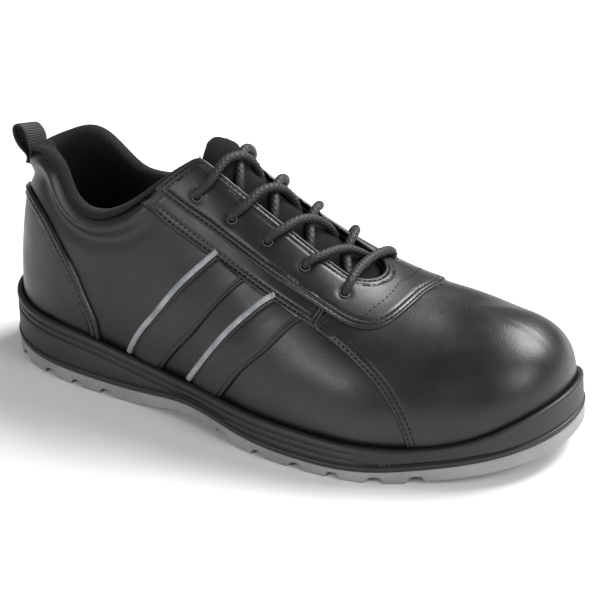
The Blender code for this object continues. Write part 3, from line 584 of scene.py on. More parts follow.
def rolled(distance, radius=1.1 * MM):
    """Height of a folded leather edge, from 0 at its rim to 1 on the flat."""
    share = np.clip(distance / radius, 0, 1)
    return np.sqrt(np.clip(1 - (1 - share) ** 2, 0, 1))


def waves(points, size, seed):
    """Slow unevenness of real leather, between about -1 and 1."""
    total = np.zeros(points.shape[:-1])
    random = np.random.default_rng(seed)
    for _ in range(7):
        way = unit(random.normal(size=3)) * 2 * math.pi / (size * random.uniform(0.7, 1.6))
        total += np.sin(points @ way + random.uniform(0, 2 * math.pi))
    return total / 4


EDGE_TUCK = 0.25 * MM
STITCH_DIP = 0.45 * MM


def closed(piece, thick):
    """Gives an open sheet its own thickness towards the inside."""
    modifier = piece.modifiers.new("thickness", "SOLIDIFY")
    modifier.thickness = thick
    modifier.offset = -1
    return piece


def leather_sheet(side, uv, edges, base, thick, stitch_rows=(), shape=None):
    """A sheet that lies on the last: folded at its free edges, pulled in along its stitches."""
    points = point_at(uv, side)
    normals = normal_at(uv, side)
    if not edges:
        return points + normals * (base + thick)
    away = distances(points, edges, side)
    height = base - EDGE_TUCK + (thick + EDGE_TUCK) * rolled(away)
    for row in stitch_rows:
        height = height - STITCH_DIP * np.exp(-((away - row) / (0.5 * MM)) ** 2)
    if shape is not None:
        height = height + shape(points, away)
    return points + normals * height[..., None]


def with_skirt(skin):
    """A skin whose lower edge goes on down inside the sole's cup."""
    skirt = skin[:, :1].copy()
    skirt[..., 2] -= SKIRT
    return np.concatenate([skirt, skin], axis=1)


def level_line(side, start, end, up, count):
    """A line at one height between two stations."""
    return line_on(side, [(along, up) for along in np.linspace(start, end, count)])


def upright_line(side, along, top, count):
    """A line from the sole's rim up one station."""
    return line_on(side, [(along, up) for up in np.linspace(0, top, count)])


def leather_edge(side, along):
    """Where the leather ends: at the padded collar a little down from the upper's edge, under the knit."""
    edge = last_point(along, upper_edge(along, side), side)
    down = KNIT_BAND * ease((118 * MM - edge[:, 0]) / (26 * MM))
    lower = rows_below(along, side, np.linspace(0, KNIT_BAND, 9))
    return np.array([np.interp(one, np.linspace(0, KNIT_BAND, 9), row) for one, row in zip(down, lower)])


def collar_swell(points, below):
    """The roll of padding under the collar's edge and the valley beneath it."""
    fade = ease((108 * MM - points[..., 0]) / (20 * MM))
    roll = 1.9 * np.exp(-((below - 7.5 * MM) / (4.2 * MM)) ** 2)
    roll = roll - 1.3 * np.exp(-((below - 15.5 * MM) / (4.5 * MM)) ** 2)
    tuck = -1.2 * np.exp(-(below / (2.2 * MM)) ** 2)
    return (roll + tuck) * fade * MM


LEATHER_FINISH = leather_material("black_leather", (0.0045, 0.0042, 0.0042), (0.0085, 0.008, 0.008),
                                  0.33, 0.45, 0.05 * MM)
QUARTER_FRONT = 0.735
SKIRT = 6 * MM
KNIT_BAND = 3.4 * MM
grids = []
shared = {}
for side in (OUTER, INNER):
    top = edge_line(side, 0.0, QUARTER_FRONT)
    bottom = level_line(side, 0.0, QUARTER_FRONT, 0.0, 12)
    left = upright_line(side, 0.0, upper_edge(0.0, side), 6)
    right = upright_line(side, QUARTER_FRONT, upper_edge(QUARTER_FRONT, side), 6)
    uv = patch(side, bottom, top, left, right, 1.6 * MM, shared)
    points = point_at(uv, side)
    below = distances(points, [top], side)
    drop = upper_edge(uv[:, -1, 0], side) - leather_edge(side, uv[:, -1, 0])
    uv[..., 1] -= drop[:, None] * np.clip(1 - below / (14 * MM), 0, 1)
    skin = leather_sheet(side, uv, [], -1.7 * MM, 1.2 * MM)
    normals = normal_at(uv, side)
    skin = skin + normals * (collar_swell(points, below) + 0.12 * MM * waves(points, 22 * MM, 3))[..., None]
    grids.append((with_skirt(skin), None, side == INNER))
add_piece("quarters", mesh_from_grids("quarters", grids), LEATHER_FINISH, "leather", "upper")

# Side bars: two slanting bands a side, padded a little so that they stand up from the quarter, each folded
# along its front edge.
REAR_BAR = [(0.000, 0.355, 0.401), (0.072, 0.370, 0.418), (0.164, 0.394, 0.442), (0.277, 0.420, 0.465),
            (0.385, 0.444, 0.485), (0.480, 0.463, 0.502), (0.530, 0.472, 0.511)]
FRONT_BAR = [(0.000, 0.439, 0.485), (0.060, 0.452, 0.497), (0.150, 0.471, 0.514), (0.277, 0.496, 0.541),
             (0.393, 0.518, 0.560), (0.490, 0.535, 0.574), (0.545, 0.546, 0.583)]
STITCH_PATHS = []


def inset(side, line, distance, towards, edges=None):
    """A line moved sideways over the last by a distance, towards a place inside the piece."""
    count = 400
    uv = line(np.linspace(0, 1, count))
    goal = last_point(towards[0], towards[1], side)
    for _ in range(3):
        points = point_at(uv, side)
        ahead = unit(np.gradient(points, axis=0))
        sideways = unit(np.cross(normal_at(uv, side), ahead))
        middle = count // 2
        if np.dot(sideways[middle], goal - points[middle]) < 0:
            sideways = -sideways
        step = 1e-3
        by_along, by_up = (
            (last_point(*(uv + way).T, side) - last_point(*(uv - way).T, side)) / (2 * step)
            for way in ((step, 0), (0, step)))
        aa, ab, bb = (by_along * by_along).sum(-1), (by_along * by_up).sum(-1), (by_up * by_up).sum(-1)
        ra, rb = (by_along * sideways).sum(-1), (by_up * sideways).sum(-1)
        scale = distance / 3 / np.maximum(aa * bb - ab * ab, 1e-12)
        uv = uv + np.stack([(bb * ra - ab * rb) * scale, (aa * rb - ab * ra) * scale], -1)
    uv = np.clip(uv, 0, 1)
    if edges:
        points = point_at(uv, side)
        uv = uv[distances(points, edges, side) > distance * 0.94]
    return uv


def sew(side, uv, lift):
    """Keeps a row of stitches for later: its places on the last and its height over it."""
    normals = normal_at(uv, side)
    STITCH_PATHS.append((point_at(uv, side) + normals * lift, normals))


def bar_edges(rows, side):
    """Rear and front edge of a bar. On the inner side it is shorter, as the strap lies lower there."""
    ups = np.linspace(0, rows[-1][0] * (0.985 if side == OUTER else 0.93), 12)
    places = [row[0] for row in rows]
    return [line_on(side, np.stack([smooth(places, [row[column] for row in rows], ups), ups], -1))
            for column in (1, 2)]


for name, rows in (("rear", REAR_BAR), ("front", FRONT_BAR)):
    for label, side in (("outer", OUTER), ("inner", INNER)):
        left, right = bar_edges(rows, side)
        bottom = true_length_line(side, np.linspace(left(0.0), right(0.0), 30))
        top = true_length_line(side, np.linspace(left(1.0), right(1.0), 30))
        uv = patch(side, bottom, top, left, right, 1.2 * MM)
        points = point_at(uv, side)
        from_back, from_front = distances(points, [left], side), distances(points, [right], side)
        puff = 1.3 * MM * np.sqrt(np.clip(from_back, 0, 9 * MM) / (9 * MM)) * rolled(from_front, 2.2 * MM)
        height = -0.9 * MM + 1.1 * MM * rolled(np.minimum(from_front, from_back)) + puff
        height -= 0.5 * MM * np.exp(-((from_back - 1.6 * MM) / (0.7 * MM)) ** 2)
        height -= 0.7 * MM * np.exp(-((from_front - 2.0 * MM) / (0.6 * MM)) ** 2)
        under = ease((left(1.0)[1] - 0.006 - uv[..., 1]) / 0.022)
        height = height * under - 0.7 * MM * (1 - under)
        skin = points + normal_at(uv, side) * height[..., None]
        bar_mesh = mesh_from_grids(f"{name}_bar_{label}", [(skin, None, side == INNER)])
        add_piece(f"{name}_bar_{label}_leather", bar_mesh, LEATHER_FINISH, "leather", f"{name}_bar_{label}")
        middle = left(0.5) + (0.02, 0.0)
        sew(side, inset(side, left, 1.6 * MM, middle), 0.05 * MM)
        sew(side, inset(side, right, 2.0 * MM, left(0.5)), 0.55 * MM)

# Reflective piping: a flat-domed silver cord sewn in along the rear edge of each bar.
PIPING_WIDTH, PIPING_HEIGHT = 3.0 * MM, 1.7 * MM
CORD_WELD = 0.002 * MM


def capped(path, loops):
    """Loops closed at both ends on their path's end places."""
    count = loops.shape[1]
    return np.concatenate([np.repeat(path[:1, None], count, 1), loops, np.repeat(path[-1:, None], count, 1)])


def swept(path, normals, half_width, half_height, sides):
    """Loops of an oval bar along a path."""
    ahead = unit(np.gradient(path, axis=0))
    across = unit(np.cross(normals, ahead))
    out = unit(np.cross(ahead, across))
    turn = np.linspace(0, 2 * math.pi, sides + 1)
    return (path[:, None] + across[:, None] * np.cos(turn)[:, None] * half_width
            + out[:, None] * np.sin(turn)[:, None] * half_height)


reflective, tree, shader = finish_of("silver_reflective", (0.30, 0.31, 0.32), 0.48, Metallic=0.2)
soil = ranged(tree, noise(tree, 120.0, 3.0), 0.35, 0.65, 0, 1)
coloured(tree, shader, soil, (0.20, 0.21, 0.22), (0.34, 0.35, 0.36))
bumped(tree, shader, noise(tree, 1800.0, 2.0), 0.3, 0.05 * MM)
for name, rows in (("rear", REAR_BAR), ("front", FRONT_BAR)):
    for label, side in (("outer", OUTER), ("inner", INNER)):
        line = bar_edges(rows, side)[0]
        uv = inset(side, line, PIPING_WIDTH / 2 - 0.2 * MM, (rows[3][1] - 0.03, rows[3][0]))
        path = point_at(uv, side)
        normals = normal_at(uv, side)
        path = path[::4] + normals[::4] * 0.3 * MM
        loops = capped(path, swept(path, normals[::4], PIPING_WIDTH / 2, PIPING_HEIGHT / 2, 14))
        node = f"{name}_piping_{label}"
        add_piece(node + "_cord", mesh_from_grids(node, [(loops, None, True)], CORD_WELD), reflective,
                  "reflective", node)

# Heel counter: a moulded leather piece round the heel. Its upper edge is folded into a double ridge with
# two rows of stitches, which stands proud of the quarter all round.
COUNTER_EDGE = [
    # along, up
    (0.000, 0.262), (0.045, 0.276), (0.090, 0.300), (0.141, 0.304), (0.186, 0.283), (0.217, 0.250),
    (0.241, 0.214), (0.260, 0.183), (0.277, 0.148),
]
COUNTER_FRONT = [
    # along, up
    (0.309, 0.000), (0.307, 0.036), (0.302, 0.062), (0.291, 0.100), (0.277, 0.148),
]


def counter_ridge(points, away):
    """Two ridges and the stitch channels beside them, by distance from the edge."""
    places = np.array([0, 0.8, 1.7, 2.5, 3.0, 3.6, 4.4, 5.2, 5.9, 6.6, 8.0, 20.0]) * MM
    heights = np.array([0.2, 1.3, 1.4, 0.95, 0.7, 1.0, 1.25, 0.9, 0.1, 0.35, 0.4, 0.4]) * MM
    return np.interp(away, places, heights) - 0.2 * MM


grids = []
shared = {}
for side in (OUTER, INNER):
    top = line_on(side, COUNTER_EDGE)
    bottom = level_line(side, 0.0, COUNTER_FRONT[0][0], 0.0, 8)
    left = upright_line(side, 0.0, COUNTER_EDGE[0][1], 5)
    right = line_on(side, COUNTER_FRONT)
    uv = patch(side, bottom, top, left, right, 1.6 * MM, shared)
    skin = leather_sheet(side, uv, [top, right], -0.3 * MM, 0.7 * MM, (), counter_ridge)
    grids.append((with_skirt(skin), None, side == INNER))
    whole = true_length_line(side, np.concatenate([top(np.linspace(0, 1, 300)),
                                                   right(np.linspace(1, 0, 100))[1:]]))
    sew(side, inset(side, whole, 3.0 * MM, (0.1, 0.1)), 0.95 * MM)
    sew(side, inset(side, whole, 5.9 * MM, (0.1, 0.1)), 0.45 * MM)
closed(add_piece("counter_leather", mesh_from_grids("counter_leather", grids), LEATHER_FINISH, "leather",
                 "heel_counter"), 0.6 * MM)

# Strap and vamp: the strap is a narrow strip that runs from the collar under the facing and meets the vamp
# in a short seam. Both lie over the quarter, with a folded edge and two rows of stitches along it.
STRAP_EDGE = [
    # along, outer, inner
    (0.335, 0.480, 0.462),
    (0.367, 0.476, 0.470),
    (0.402, 0.470, 0.466),
    (0.447, 0.480, 0.462),
    (0.498, 0.495, 0.462),
    (0.548, 0.506, 0.464),
    (0.581, 0.511, 0.468),
    (0.594, 0.511, 0.470),
]
VAMP_SEAM = {
    OUTER: [(0.7155, 0.000), (0.711, 0.078), (0.700, 0.200), (0.682, 0.327), (0.651, 0.440), (0.618, 0.497),
            (0.592, 0.512)],
    INNER: [(0.7155, 0.000), (0.711, 0.078), (0.700, 0.195), (0.682, 0.305), (0.651, 0.405), (0.614, 0.458),
            (0.590, 0.470)],
}
VAMP_TOP = 0.688
LAYER = 1.15 * MM
SEAM_ROWS = (1.9 * MM, 4.2 * MM)


def by_side(rows, side):
    """The knots of one side from a table of along, outer, inner."""
    return np.array([(row[0], row[1 if side == OUTER else 2]) for row in rows])


def swell_under(side, points):
    """How far the collar's padding lifts what lies over it."""
    return collar_swell(points, distances(points, [edge_line(side, 0.0, QUARTER_FRONT)], side))


grids = []
for side in (OUTER, INNER):
    lower = line_on(side, by_side(STRAP_EDGE, side))(np.linspace(0, 1, 400))
    edge = leather_edge(side, lower[:, 0])
    first = int(np.argmax(lower[:, 1] < edge - 0.002))
    bottom = true_length_line(side, lower[first:])
    edge_at = np.linspace(lower[first, 0], 0.400, 60)
    edge_up = leather_edge(side, edge_at) - 0.002 - 0.02 * ease((edge_at - 0.36) / 0.02)
    left = true_length_line(side, np.stack([edge_at, edge_up], -1))
    end = lower[-1] + (0.006, 0.110)
    top = line_on(side, [(edge_at[-1], edge_up[-1]), (0.45, edge_up[-1]), (0.52, 0.62), end])
    right = true_length_line(side, np.linspace(lower[-1], end, 50))
    uv = patch(side, bottom, top, left, right, 1.4 * MM)
    skin = leather_sheet(side, uv, [bottom, right, left], -0.4 * MM, LAYER, SEAM_ROWS,
                         lambda points, away, side=side: np.maximum(swell_under(side, points), 0))
    grids.append((skin, None, side == INNER))
    for row in SEAM_ROWS:
        sew(side, inset(side, bottom, row, (0.46, 0.60)), LAYER - 0.75 * MM)
closed(add_piece("strap", mesh_from_grids("strap", grids), LEATHER_FINISH, "leather", "upper"), 0.7 * MM)

grids = []
shared = {}
for side in (OUTER, INNER):
    seam = line_on(side, VAMP_SEAM[side])
    hidden = line_on(side, [VAMP_SEAM[side][-1], (0.600, 0.610), (0.632, 0.720), (0.665, 0.850),
                            (VAMP_TOP, 1.0)])
    left = true_length_line(side, np.concatenate([seam(np.linspace(0, 1, 200)),
                                                  hidden(np.linspace(0, 1, 150))[1:]]))
    bottom = level_line(side, VAMP_SEAM[side][0][0], 1.0, 0.0, 12)
    top = level_line(side, VAMP_TOP, 1.0, 1.0, 12)
    right = upright_line(side, 1.0, 1.0, 8)
    uv = patch(side, bottom, top, left, right, 1.4 * MM, shared)
    skin = leather_sheet(side, uv, [seam, hidden], -0.4 * MM, LAYER, SEAM_ROWS,
                         lambda points, away: 0.10 * MM * waves(points, 26 * MM, 9))
    grids.append((with_skirt(skin), None, side == INNER))
    for row in SEAM_ROWS:
        sew(side, inset(side, seam, row, (0.80, 0.30)), LAYER - 0.75 * MM)
closed(add_piece("vamp", mesh_from_grids("vamp", grids), LEATHER_FINISH, "leather", "upper"), 0.7 * MM)

# Facing: the eyelet piece, one U of leather round the throat over strap and vamp. Two rows of stitches
# follow its outer edge and the throat, one more row crosses its toe end, and the lace holes are punched.
FACING_EDGE = [
    # along, outer, inner
    (0.345, 0.540, 0.514),
    (0.383, 0.546, 0.511),
    (0.410, 0.549, 0.506),
    (0.450, 0.567, 0.502),
    (0.500, 0.584, 0.500),
    (0.550, 0.603, 0.502),
    (0.600, 0.616, 0.518),
    (0.645, 0.630, 0.552),
    (0.667, 0.668, 0.612),
    (0.690, 0.758, 0.712),
    (0.710, 0.878, 0.845),
    (0.722, 0.945, 0.938),
    (0.733, 1.000, 1.000),
]
FACING_CORNER = {OUTER: 0.427, INNER: 0.4215}
THROAT_END = float(np.interp(THROAT_FRONT_AT, crown(np.linspace(0.5, 1, 800))[0], np.linspace(0.5, 1, 800)))
EYELET_COUNT = 5
EYELET_PITCH = 18.6 * MM
FRONT_EYELET_AT = 196 * MM
EYELET_SPREAD = 44 * MM
EYELET_HOLE = 4.6 * MM
FACING_TOP = 1.95 * MM
RIM_DEPTH = 0.12 * MM


def eyelets(side):
    """One side's eyelets, front to back: place along the crown, arc from the crown, along and up. Both rows
    lie as far from the crown over the surface."""
    places = []
    ups = np.linspace(1, 0.3, 500)
    for number in range(EYELET_COUNT):
        x = FRONT_EYELET_AT - number * EYELET_PITCH
        along = np.linspace(0.35, 0.7, 400)
        along = float(np.interp(x, crown(along)[0], along))
        outer, own = last_point(along, ups, OUTER), last_point(along, ups, side)
        away = float(np.interp(EYELET_SPREAD / 2, np.abs(outer[:, 1] - crown(along)[1]), arc_lengths(outer)))
        places.append((x, away, along, float(np.interp(away, arc_lengths(own), ups))))
    return places


def plain_mesh(name, holder):
    """The evaluated result of a holder's modifiers, as a plain mesh. The holder is removed."""
    bpy.context.view_layer.update()
    graph = bpy.context.evaluated_depsgraph_get()
    mesh = bpy.data.meshes.new_from_object(holder.evaluated_get(graph))
    mesh.name = name
    for modifier in list(holder.modifiers):
        holder.modifiers.remove(modifier)
    bpy.data.objects.remove(holder)
    return mesh


def punched(mesh, thick, holes):
    """A sheet with a thickness and with round holes cut through it at some places and directions."""
    made = bmesh.new()
    for place, out in holes:
        turn = Vector(out).to_track_quat("Z", "Y").to_matrix().to_4x4()
        bmesh.ops.create_cone(made, cap_ends=True, segments=28, radius1=EYELET_HOLE / 2,
                              radius2=EYELET_HOLE / 2, depth=7 * MM, matrix=Matrix.Translation(place) @ turn)
    punch_mesh = bpy.data.meshes.new("punch")
    made.to_mesh(punch_mesh)
    made.free()
    punch = bpy.data.objects.new("punch", punch_mesh)
    body = bpy.data.objects.new("body", mesh)
    for one in (punch, body):
        bpy.context.scene.collection.objects.link(one)
    layer = body.modifiers.new("thickness", "SOLIDIFY")
    layer.thickness = thick
    layer.offset = -1
    cut = body.modifiers.new("holes", "BOOLEAN")
    cut.operation = "DIFFERENCE"
    cut.object = punch
    cut.solver = "EXACT"
    result = plain_mesh(mesh.name, body)
    bpy.data.objects.remove(punch)
    result.set_sharp_from_angle(angle=math.radians(48))
    return result


grids = []
shared = {}
holes = []
rings = []
for side in (OUTER, INNER):
    lower = line_on(side, by_side(FACING_EDGE, side))(np.linspace(0, 1, 600))
    first = int(np.argmax(lower[:, 1] < leather_edge(side, lower[:, 0]) - 0.004))
    bottom = true_length_line(side, lower[first:])
    edge_at = np.linspace(lower[first, 0], FACING_CORNER[side], 120)
    left_places = np.stack([edge_at, leather_edge(side, edge_at) - 0.004], -1)
    left = true_length_line(side, left_places)
    throat_at = np.linspace(FACING_CORNER[side], THROAT_END, 700)
    throat_places = np.stack([throat_at, upper_edge(throat_at, side)], -1)
    throat_places += (left_places[-1] - throat_places[0]) * np.clip(1 - np.arange(700) / 60, 0, 1)[:, None]
    throat_places[-1, 1] = 1.0
    top = true_length_line(side, throat_places)
    right = line_on(side, [(FACING_EDGE[-1][0], 1.0), ((FACING_EDGE[-1][0] + THROAT_END) / 2, 1.0),
                           (THROAT_END, 1.0)])
    uv = patch(side, bottom, top, left, right, 1.2 * MM, shared)
    centres = [last_point(along, up, side) for _, _, along, up in eyelets(side)]

    def dimples(points, away, side=side, centres=centres):
        """The leather dips a little round each punched hole, and the collar's padding lifts its rear end."""
        near = np.min([np.linalg.norm(points - centre, axis=-1) for centre in centres], axis=0)
        dip = -0.45 * MM * np.exp(-(np.clip(near - EYELET_HOLE / 2, 0, 1) / (1.5 * MM)) ** 2)
        return dip + np.maximum(swell_under(side, points), 0)

    rim = [bottom, left, top]
    skin = leather_sheet(side, uv, rim, FACING_TOP - LAYER - 0.1 * MM, LAYER, SEAM_ROWS, dimples)
    grids.append((skin, None, side == INNER))
    for row in SEAM_ROWS:
        for line, middle in zip(rim, ((0.55, 0.70), (0.46, 0.70), (0.55, 0.70))):
            sew(side, inset(side, line, row, middle, edges=rim), FACING_TOP - 0.55 * MM)
    cross_row = line_on(side, [(0.642, 0.640), (0.655, 0.774), (0.669, 0.896), (0.674, 1.0)])
    sew(side, cross_row(np.linspace(0, 1, 200)), FACING_TOP - 0.15 * MM)
    for centre, (_, _, along, up) in zip(centres, eyelets(side)):
        out = last_normal(along, up, side)
        holes.append((Vector(centre - (HEEL_REST_AT, 0, 0) + out * FACING_TOP), out))
        turn = np.linspace(0, 2 * math.pi, 33)
        across = unit(np.cross(out, (0.0, 1.0, 0.0)))
        circle = np.cos(turn)[:, None] * across + np.sin(turn)[:, None] * np.cross(out, across)
        circle *= EYELET_HOLE / 2
        ring = swept(centre + circle + out * (FACING_TOP - RIM_DEPTH), circle, 0.32 * MM, 0.16 * MM, 8)
        rings.append((ring, None, False))
facing_mesh = punched(mesh_from_grids("facing_leather", grids), 0.9 * MM, holes)
add_piece("facing_leather", facing_mesh, LEATHER_FINISH, "leather", "facing")
raw_edge = finish_of("raw_leather_edge", (0.17, 0.16, 0.15), 0.7)[0]
add_piece("hole_rims", mesh_from_grids("hole_rims", rings), raw_edge, "leather", "facing")

# Tongue: a padded knit tongue under the throat, its free end a thick rounded hood that stands above the
# collar. It is quilted foam between two cloth faces.
TONGUE_TOP, TONGUE_TOE = 0.427, 0.655
TONGUE_EDGE = (0.61, 0.77)
TONGUE_THICKNESS = 5.5 * MM
TONGUE_CORNER = 9 * MM
HOOD_RISE = 5.5 * MM
EDGE_STEPS = np.array([0, 0.1, 0.35, 0.75, 1.3, 2.0, 2.8, 3.8]) * MM
crown_at = np.linspace(TONGUE_TOP, TONGUE_TOE, 400)
crown_run = arc_lengths(last_point(crown_at, 1.0, OUTER))
rows_at = np.concatenate([EDGE_STEPS, np.arange(5 * MM, crown_run[-1], 1.2 * MM)])
tongue_at = np.interp(rows_at, crown_run, crown_at)
grids = []
for side in (OUTER, INNER):
    points, normals, inward, across = [], [], [], []
    for row, along in zip(rows_at, tongue_at):
        ups = np.linspace(1, 0.45, 240)
        run = arc_lengths(last_point(along, ups, side))
        full_width = np.interp(-np.interp(along, [TONGUE_TOP, TONGUE_TOE], TONGUE_EDGE), -ups, run)
        in_corner = max(TONGUE_CORNER - row, 0)
        width = full_width - (TONGUE_CORNER - math.sqrt(TONGUE_CORNER ** 2 - in_corner ** 2))
        from_edge = np.concatenate([EDGE_STEPS, np.linspace(EDGE_STEPS[-1], width, 20)[1:]])
        up = np.interp(width - from_edge, run, ups)
        points.append(last_point(along, up, side))
        normals.append(last_normal(along, up, side))
        inward.append(np.minimum(from_edge, row))
        across.append(width - from_edge)
    points, normals, inward, across = (np.array(each) for each in (points, normals, inward, across))
    full = rolled(inward, 3.4 * MM)
    near_end = ease((26 * MM - rows_at) / (19 * MM))[:, None]
    hood = near_end * (0.45 + 0.55 * ease(rows_at / (9 * MM)))[:, None]
    thick = TONGUE_THICKNESS + 2.0 * MM * near_end
    rise = hood * HOOD_RISE * np.cos(np.clip(across / (22 * MM), 0, 1) * 1.3)
    middle = rise - (LEATHER + 1.2 * MM) - thick / 2
    uv = np.stack(np.broadcast_arrays(across * -side, rows_at[:, None]), -1)
    pillow = 0.25 * MM * waves(points, 17 * MM, 21)
    grids.append((points + normals * (middle + thick / 2 * full + pillow)[..., None], uv, side == OUTER))
    grids.append((points + normals * (middle - thick / 2 * full)[..., None], uv, side == INNER))
# The tongue's knit is a darker copy of the lining's knit. The extra darkness is painted shade for the dark
# throat.
TONGUE_KNIT_SHADE_DARKENED = knit_material("tongue_knit_painted_shade", (0.0012, 0.0012, 0.0012), (0.004, 0.004, 0.0042),
                            0.8 * MM, 0.7 * MM)
tongue = add_piece("tongue_pad", mesh_from_grids("tongue_pad", grids), TONGUE_KNIT_SHADE_DARKENED, "textile", "tongue")

# Lace: one round braided cord. A bar lies over the front pair of holes. From each pair two strands come up
# between flap and tongue, cross, and go down through the next pair, the outer one over the other.
CORD_RADIUS = 2.05 * MM
WEAVE_LENGTH = 2.6 * MM
WEAVE_DEPTH = 0.10
cord_finish, tree, shader = finish_of("black_cord", (0.0042, 0.0042, 0.0045), 0.6, Sheen_Weight=0.06)
bumped(tree, shader, noise(tree, 1500.0, 2.0), 0.5, 0.1 * MM)


def over(x, offset, lift, side):
    """A place over the throat: along the crown, sideways over the surface towards a side, then outwards."""
    along = np.linspace(0.35, 0.75, 500)
    along = float(np.interp(x, crown(along)[0], along))
    ups = np.linspace(1, 0.35, 300)
    towards = side if offset >= 0 else -side
    up = float(np.interp(abs(offset), arc_lengths(last_point(along, ups, towards)), ups))
    return last_point(along, up, towards) + last_normal(along, up, towards) * lift


def smooth_path(knots, count, step):
    """A smooth path through some places in even steps, with the length run at each."""
    run = arc_lengths(knots)
    at = np.linspace(0, run[-1], count)
    path = np.stack([smooth(run, knots[:, axis], at) for axis in range(3)], -1)
    run = arc_lengths(path)
    at = np.linspace(0, run[-1], int(run[-1] / step))
    return at, np.stack([np.interp(at, run, path[:, axis]) for axis in range(3)], -1)


def braided(knots):
    """A braided cord through some places: its surface as rings of points."""
    at, path = smooth_path(np.array(knots), 400, 0.4 * MM)
    ahead = unit(np.gradient(path, axis=0))
    sideways = [unit(np.cross(ahead[0], (0.3, 0.2, 1.0)))]
    for way in ahead[1:]:
        sideways.append(unit(sideways[-1] - way * np.dot(sideways[-1], way)))
    sideways = np.array(sideways)
    upwards = np.cross(ahead, sideways)
    turn = np.linspace(0, 2 * math.pi, 37)
    weave = 1 + WEAVE_DEPTH * np.cos(6 * turn)[None] * np.cos(2 * math.pi * at / WEAVE_LENGTH)[:, None]
    radius = (CORD_RADIUS * weave)[..., None]
    circle = sideways[:, None] * np.cos(turn)[:, None] + upwards[:, None] * np.sin(turn)[:, None]
    return capped(path, path[:, None] + radius * circle)


holes_by_side = {side: eyelets(side) for side in (OUTER, INNER)}
x, away = holes_by_side[OUTER][0][:2]
bar_knots = [over(x, sign * (away - shift * MM), lift * MM, OUTER)
             for sign, steps in ((1, ((0, -2.4), (0.3, 0.2), (1.4, 2.7), (4.5, 4.35), (11.0, 4.3))),
                                 (-1, ((11.0, 4.3), (4.5, 4.35), (1.4, 2.7), (0.3, 0.2), (0, -2.4))))
             for shift, lift in steps]
bar_mesh = mesh_from_grids("lace_bar_cord", [(braided(bar_knots), None, True)], CORD_WELD)
add_piece("lace_bar_cord", bar_mesh, cord_finish, "cord", "lace_bar")
for number in range(1, EYELET_COUNT):
    grids = []
    for side in (OUTER, INNER):
        x_before = holes_by_side[-side][number - 1][0]
        x, away = holes_by_side[side][number][:2]
        knots = [
            over(x_before - 1 * MM, -15 * MM, -4.8 * MM, side),
            over(x_before - 2.5 * MM, -11.5 * MM, -2.2 * MM, side),
            over(x_before - 5 * MM, -6.0 * MM, 0.2 * MM if side == OUTER else -0.9 * MM, side),
            over(x_before - 9 * MM, 1.5 * MM, 2.6 * MM if side == OUTER else -1.2 * MM, side),
            over(x + 6.5 * MM, 8.0 * MM, 3.6 * MM if side == OUTER else 2.4 * MM, side),
            over(x + 2.6 * MM, away - 6.5 * MM, 4.3 * MM, side),
            over(x, away - 1.6 * MM, 2.9 * MM, side),
            over(x - 0.3 * MM, away - 0.3 * MM, 0.2 * MM, side),
            over(x - 0.3 * MM, away, -2.4 * MM, side),
        ]
        grids.append((braided(knots), None, True))
    strand_mesh = mesh_from_grids(f"lace_crossing_{number}_cord", grids, CORD_WELD)
    add_piece(f"lace_crossing_{number}_cord", strand_mesh, cord_finish, "cord", f"lace_crossing_{number}")

# Pull loop: black ribbed webbing folded into a loop. Both legs are sewn to the collar's back, one on the
# other, and the loop stands up from there, a little twisted.
LOOP_HEIGHT = 9.5 * MM
LOOP_DEPTH = 11 * MM
LOOP_SEWN = 8 * MM
WEBBING_WIDTH = 14 * MM
WEBBING_THICKNESS = 1.4 * MM
RIB_PITCH = 1.1 * MM
heel = last_point(0.0, np.linspace(0, 1, 200), OUTER)
loop_low = COLLAR_HEIGHT - LOOP_SEWN
back_low, back_high = np.interp([loop_low, COLLAR_HEIGHT - LOOP_SEWN / 2], heel[:, 2], heel[:, 0])
inner_leg = WEBBING_THICKNESS / 2 + CLEARANCE
outer_leg = inner_leg + WEBBING_THICKNESS + CLEARANCE
loop_places = np.array([
    # place along x, height
    (back_low - outer_leg, loop_low),
    (back_high - outer_leg - CLEARANCE, loop_low + 0.4 * LOOP_SEWN),
    (back_high - 0.62 * LOOP_DEPTH, COLLAR_HEIGHT - 0.05 * LOOP_HEIGHT),
    (back_high - 0.86 * LOOP_DEPTH, COLLAR_HEIGHT + 0.45 * LOOP_HEIGHT),
    (back_high - 0.80 * LOOP_DEPTH, COLLAR_HEIGHT + 0.85 * LOOP_HEIGHT),
    (back_high - 0.55 * LOOP_DEPTH, COLLAR_HEIGHT + LOOP_HEIGHT),
    (back_high - 0.25 * LOOP_DEPTH, COLLAR_HEIGHT + 0.75 * LOOP_HEIGHT),
    (back_high - 0.10 * LOOP_DEPTH, COLLAR_HEIGHT + 0.25 * LOOP_HEIGHT),
    (back_high - inner_leg, loop_low + 0.5 * LOOP_SEWN),
    (back_low - inner_leg, loop_low),
])
at, path = smooth_path(np.insert(loop_places, 1, 0.0, axis=1), 500, 0.2 * MM)
lean = ease((path[:, 2] - COLLAR_HEIGHT + 2 * MM) / LOOP_HEIGHT)
sideways = unit(np.stack([0.16 * lean, np.ones(len(at)), -0.32 * lean], -1))
out = unit(np.cross(unit(np.gradient(path, axis=0)), sideways))
half_thick = WEBBING_THICKNESS / 2 - 0.12 * MM + 0.12 * MM * np.cos(2 * math.pi * at / RIB_PITCH)
band = np.array([
    # share of half the width, share of half the thickness
    (-1, 0), (-0.985, 0.6), (-0.94, 1), (-0.5, 1), (0, 1), (0.5, 1), (0.94, 1), (0.985, 0.6), (1, 0),
    (0.985, -0.6), (0.94, -1), (0.5, -1), (0, -1), (-0.5, -1), (-0.94, -1), (-0.985, -0.6), (-1, 0),
])
loops = (path[:, None] + sideways[:, None] * band[:, :1] * WEBBING_WIDTH / 2
         + out[:, None] * band[:, 1:] * half_thick[:, None, None])
loops = capped(path, loops)
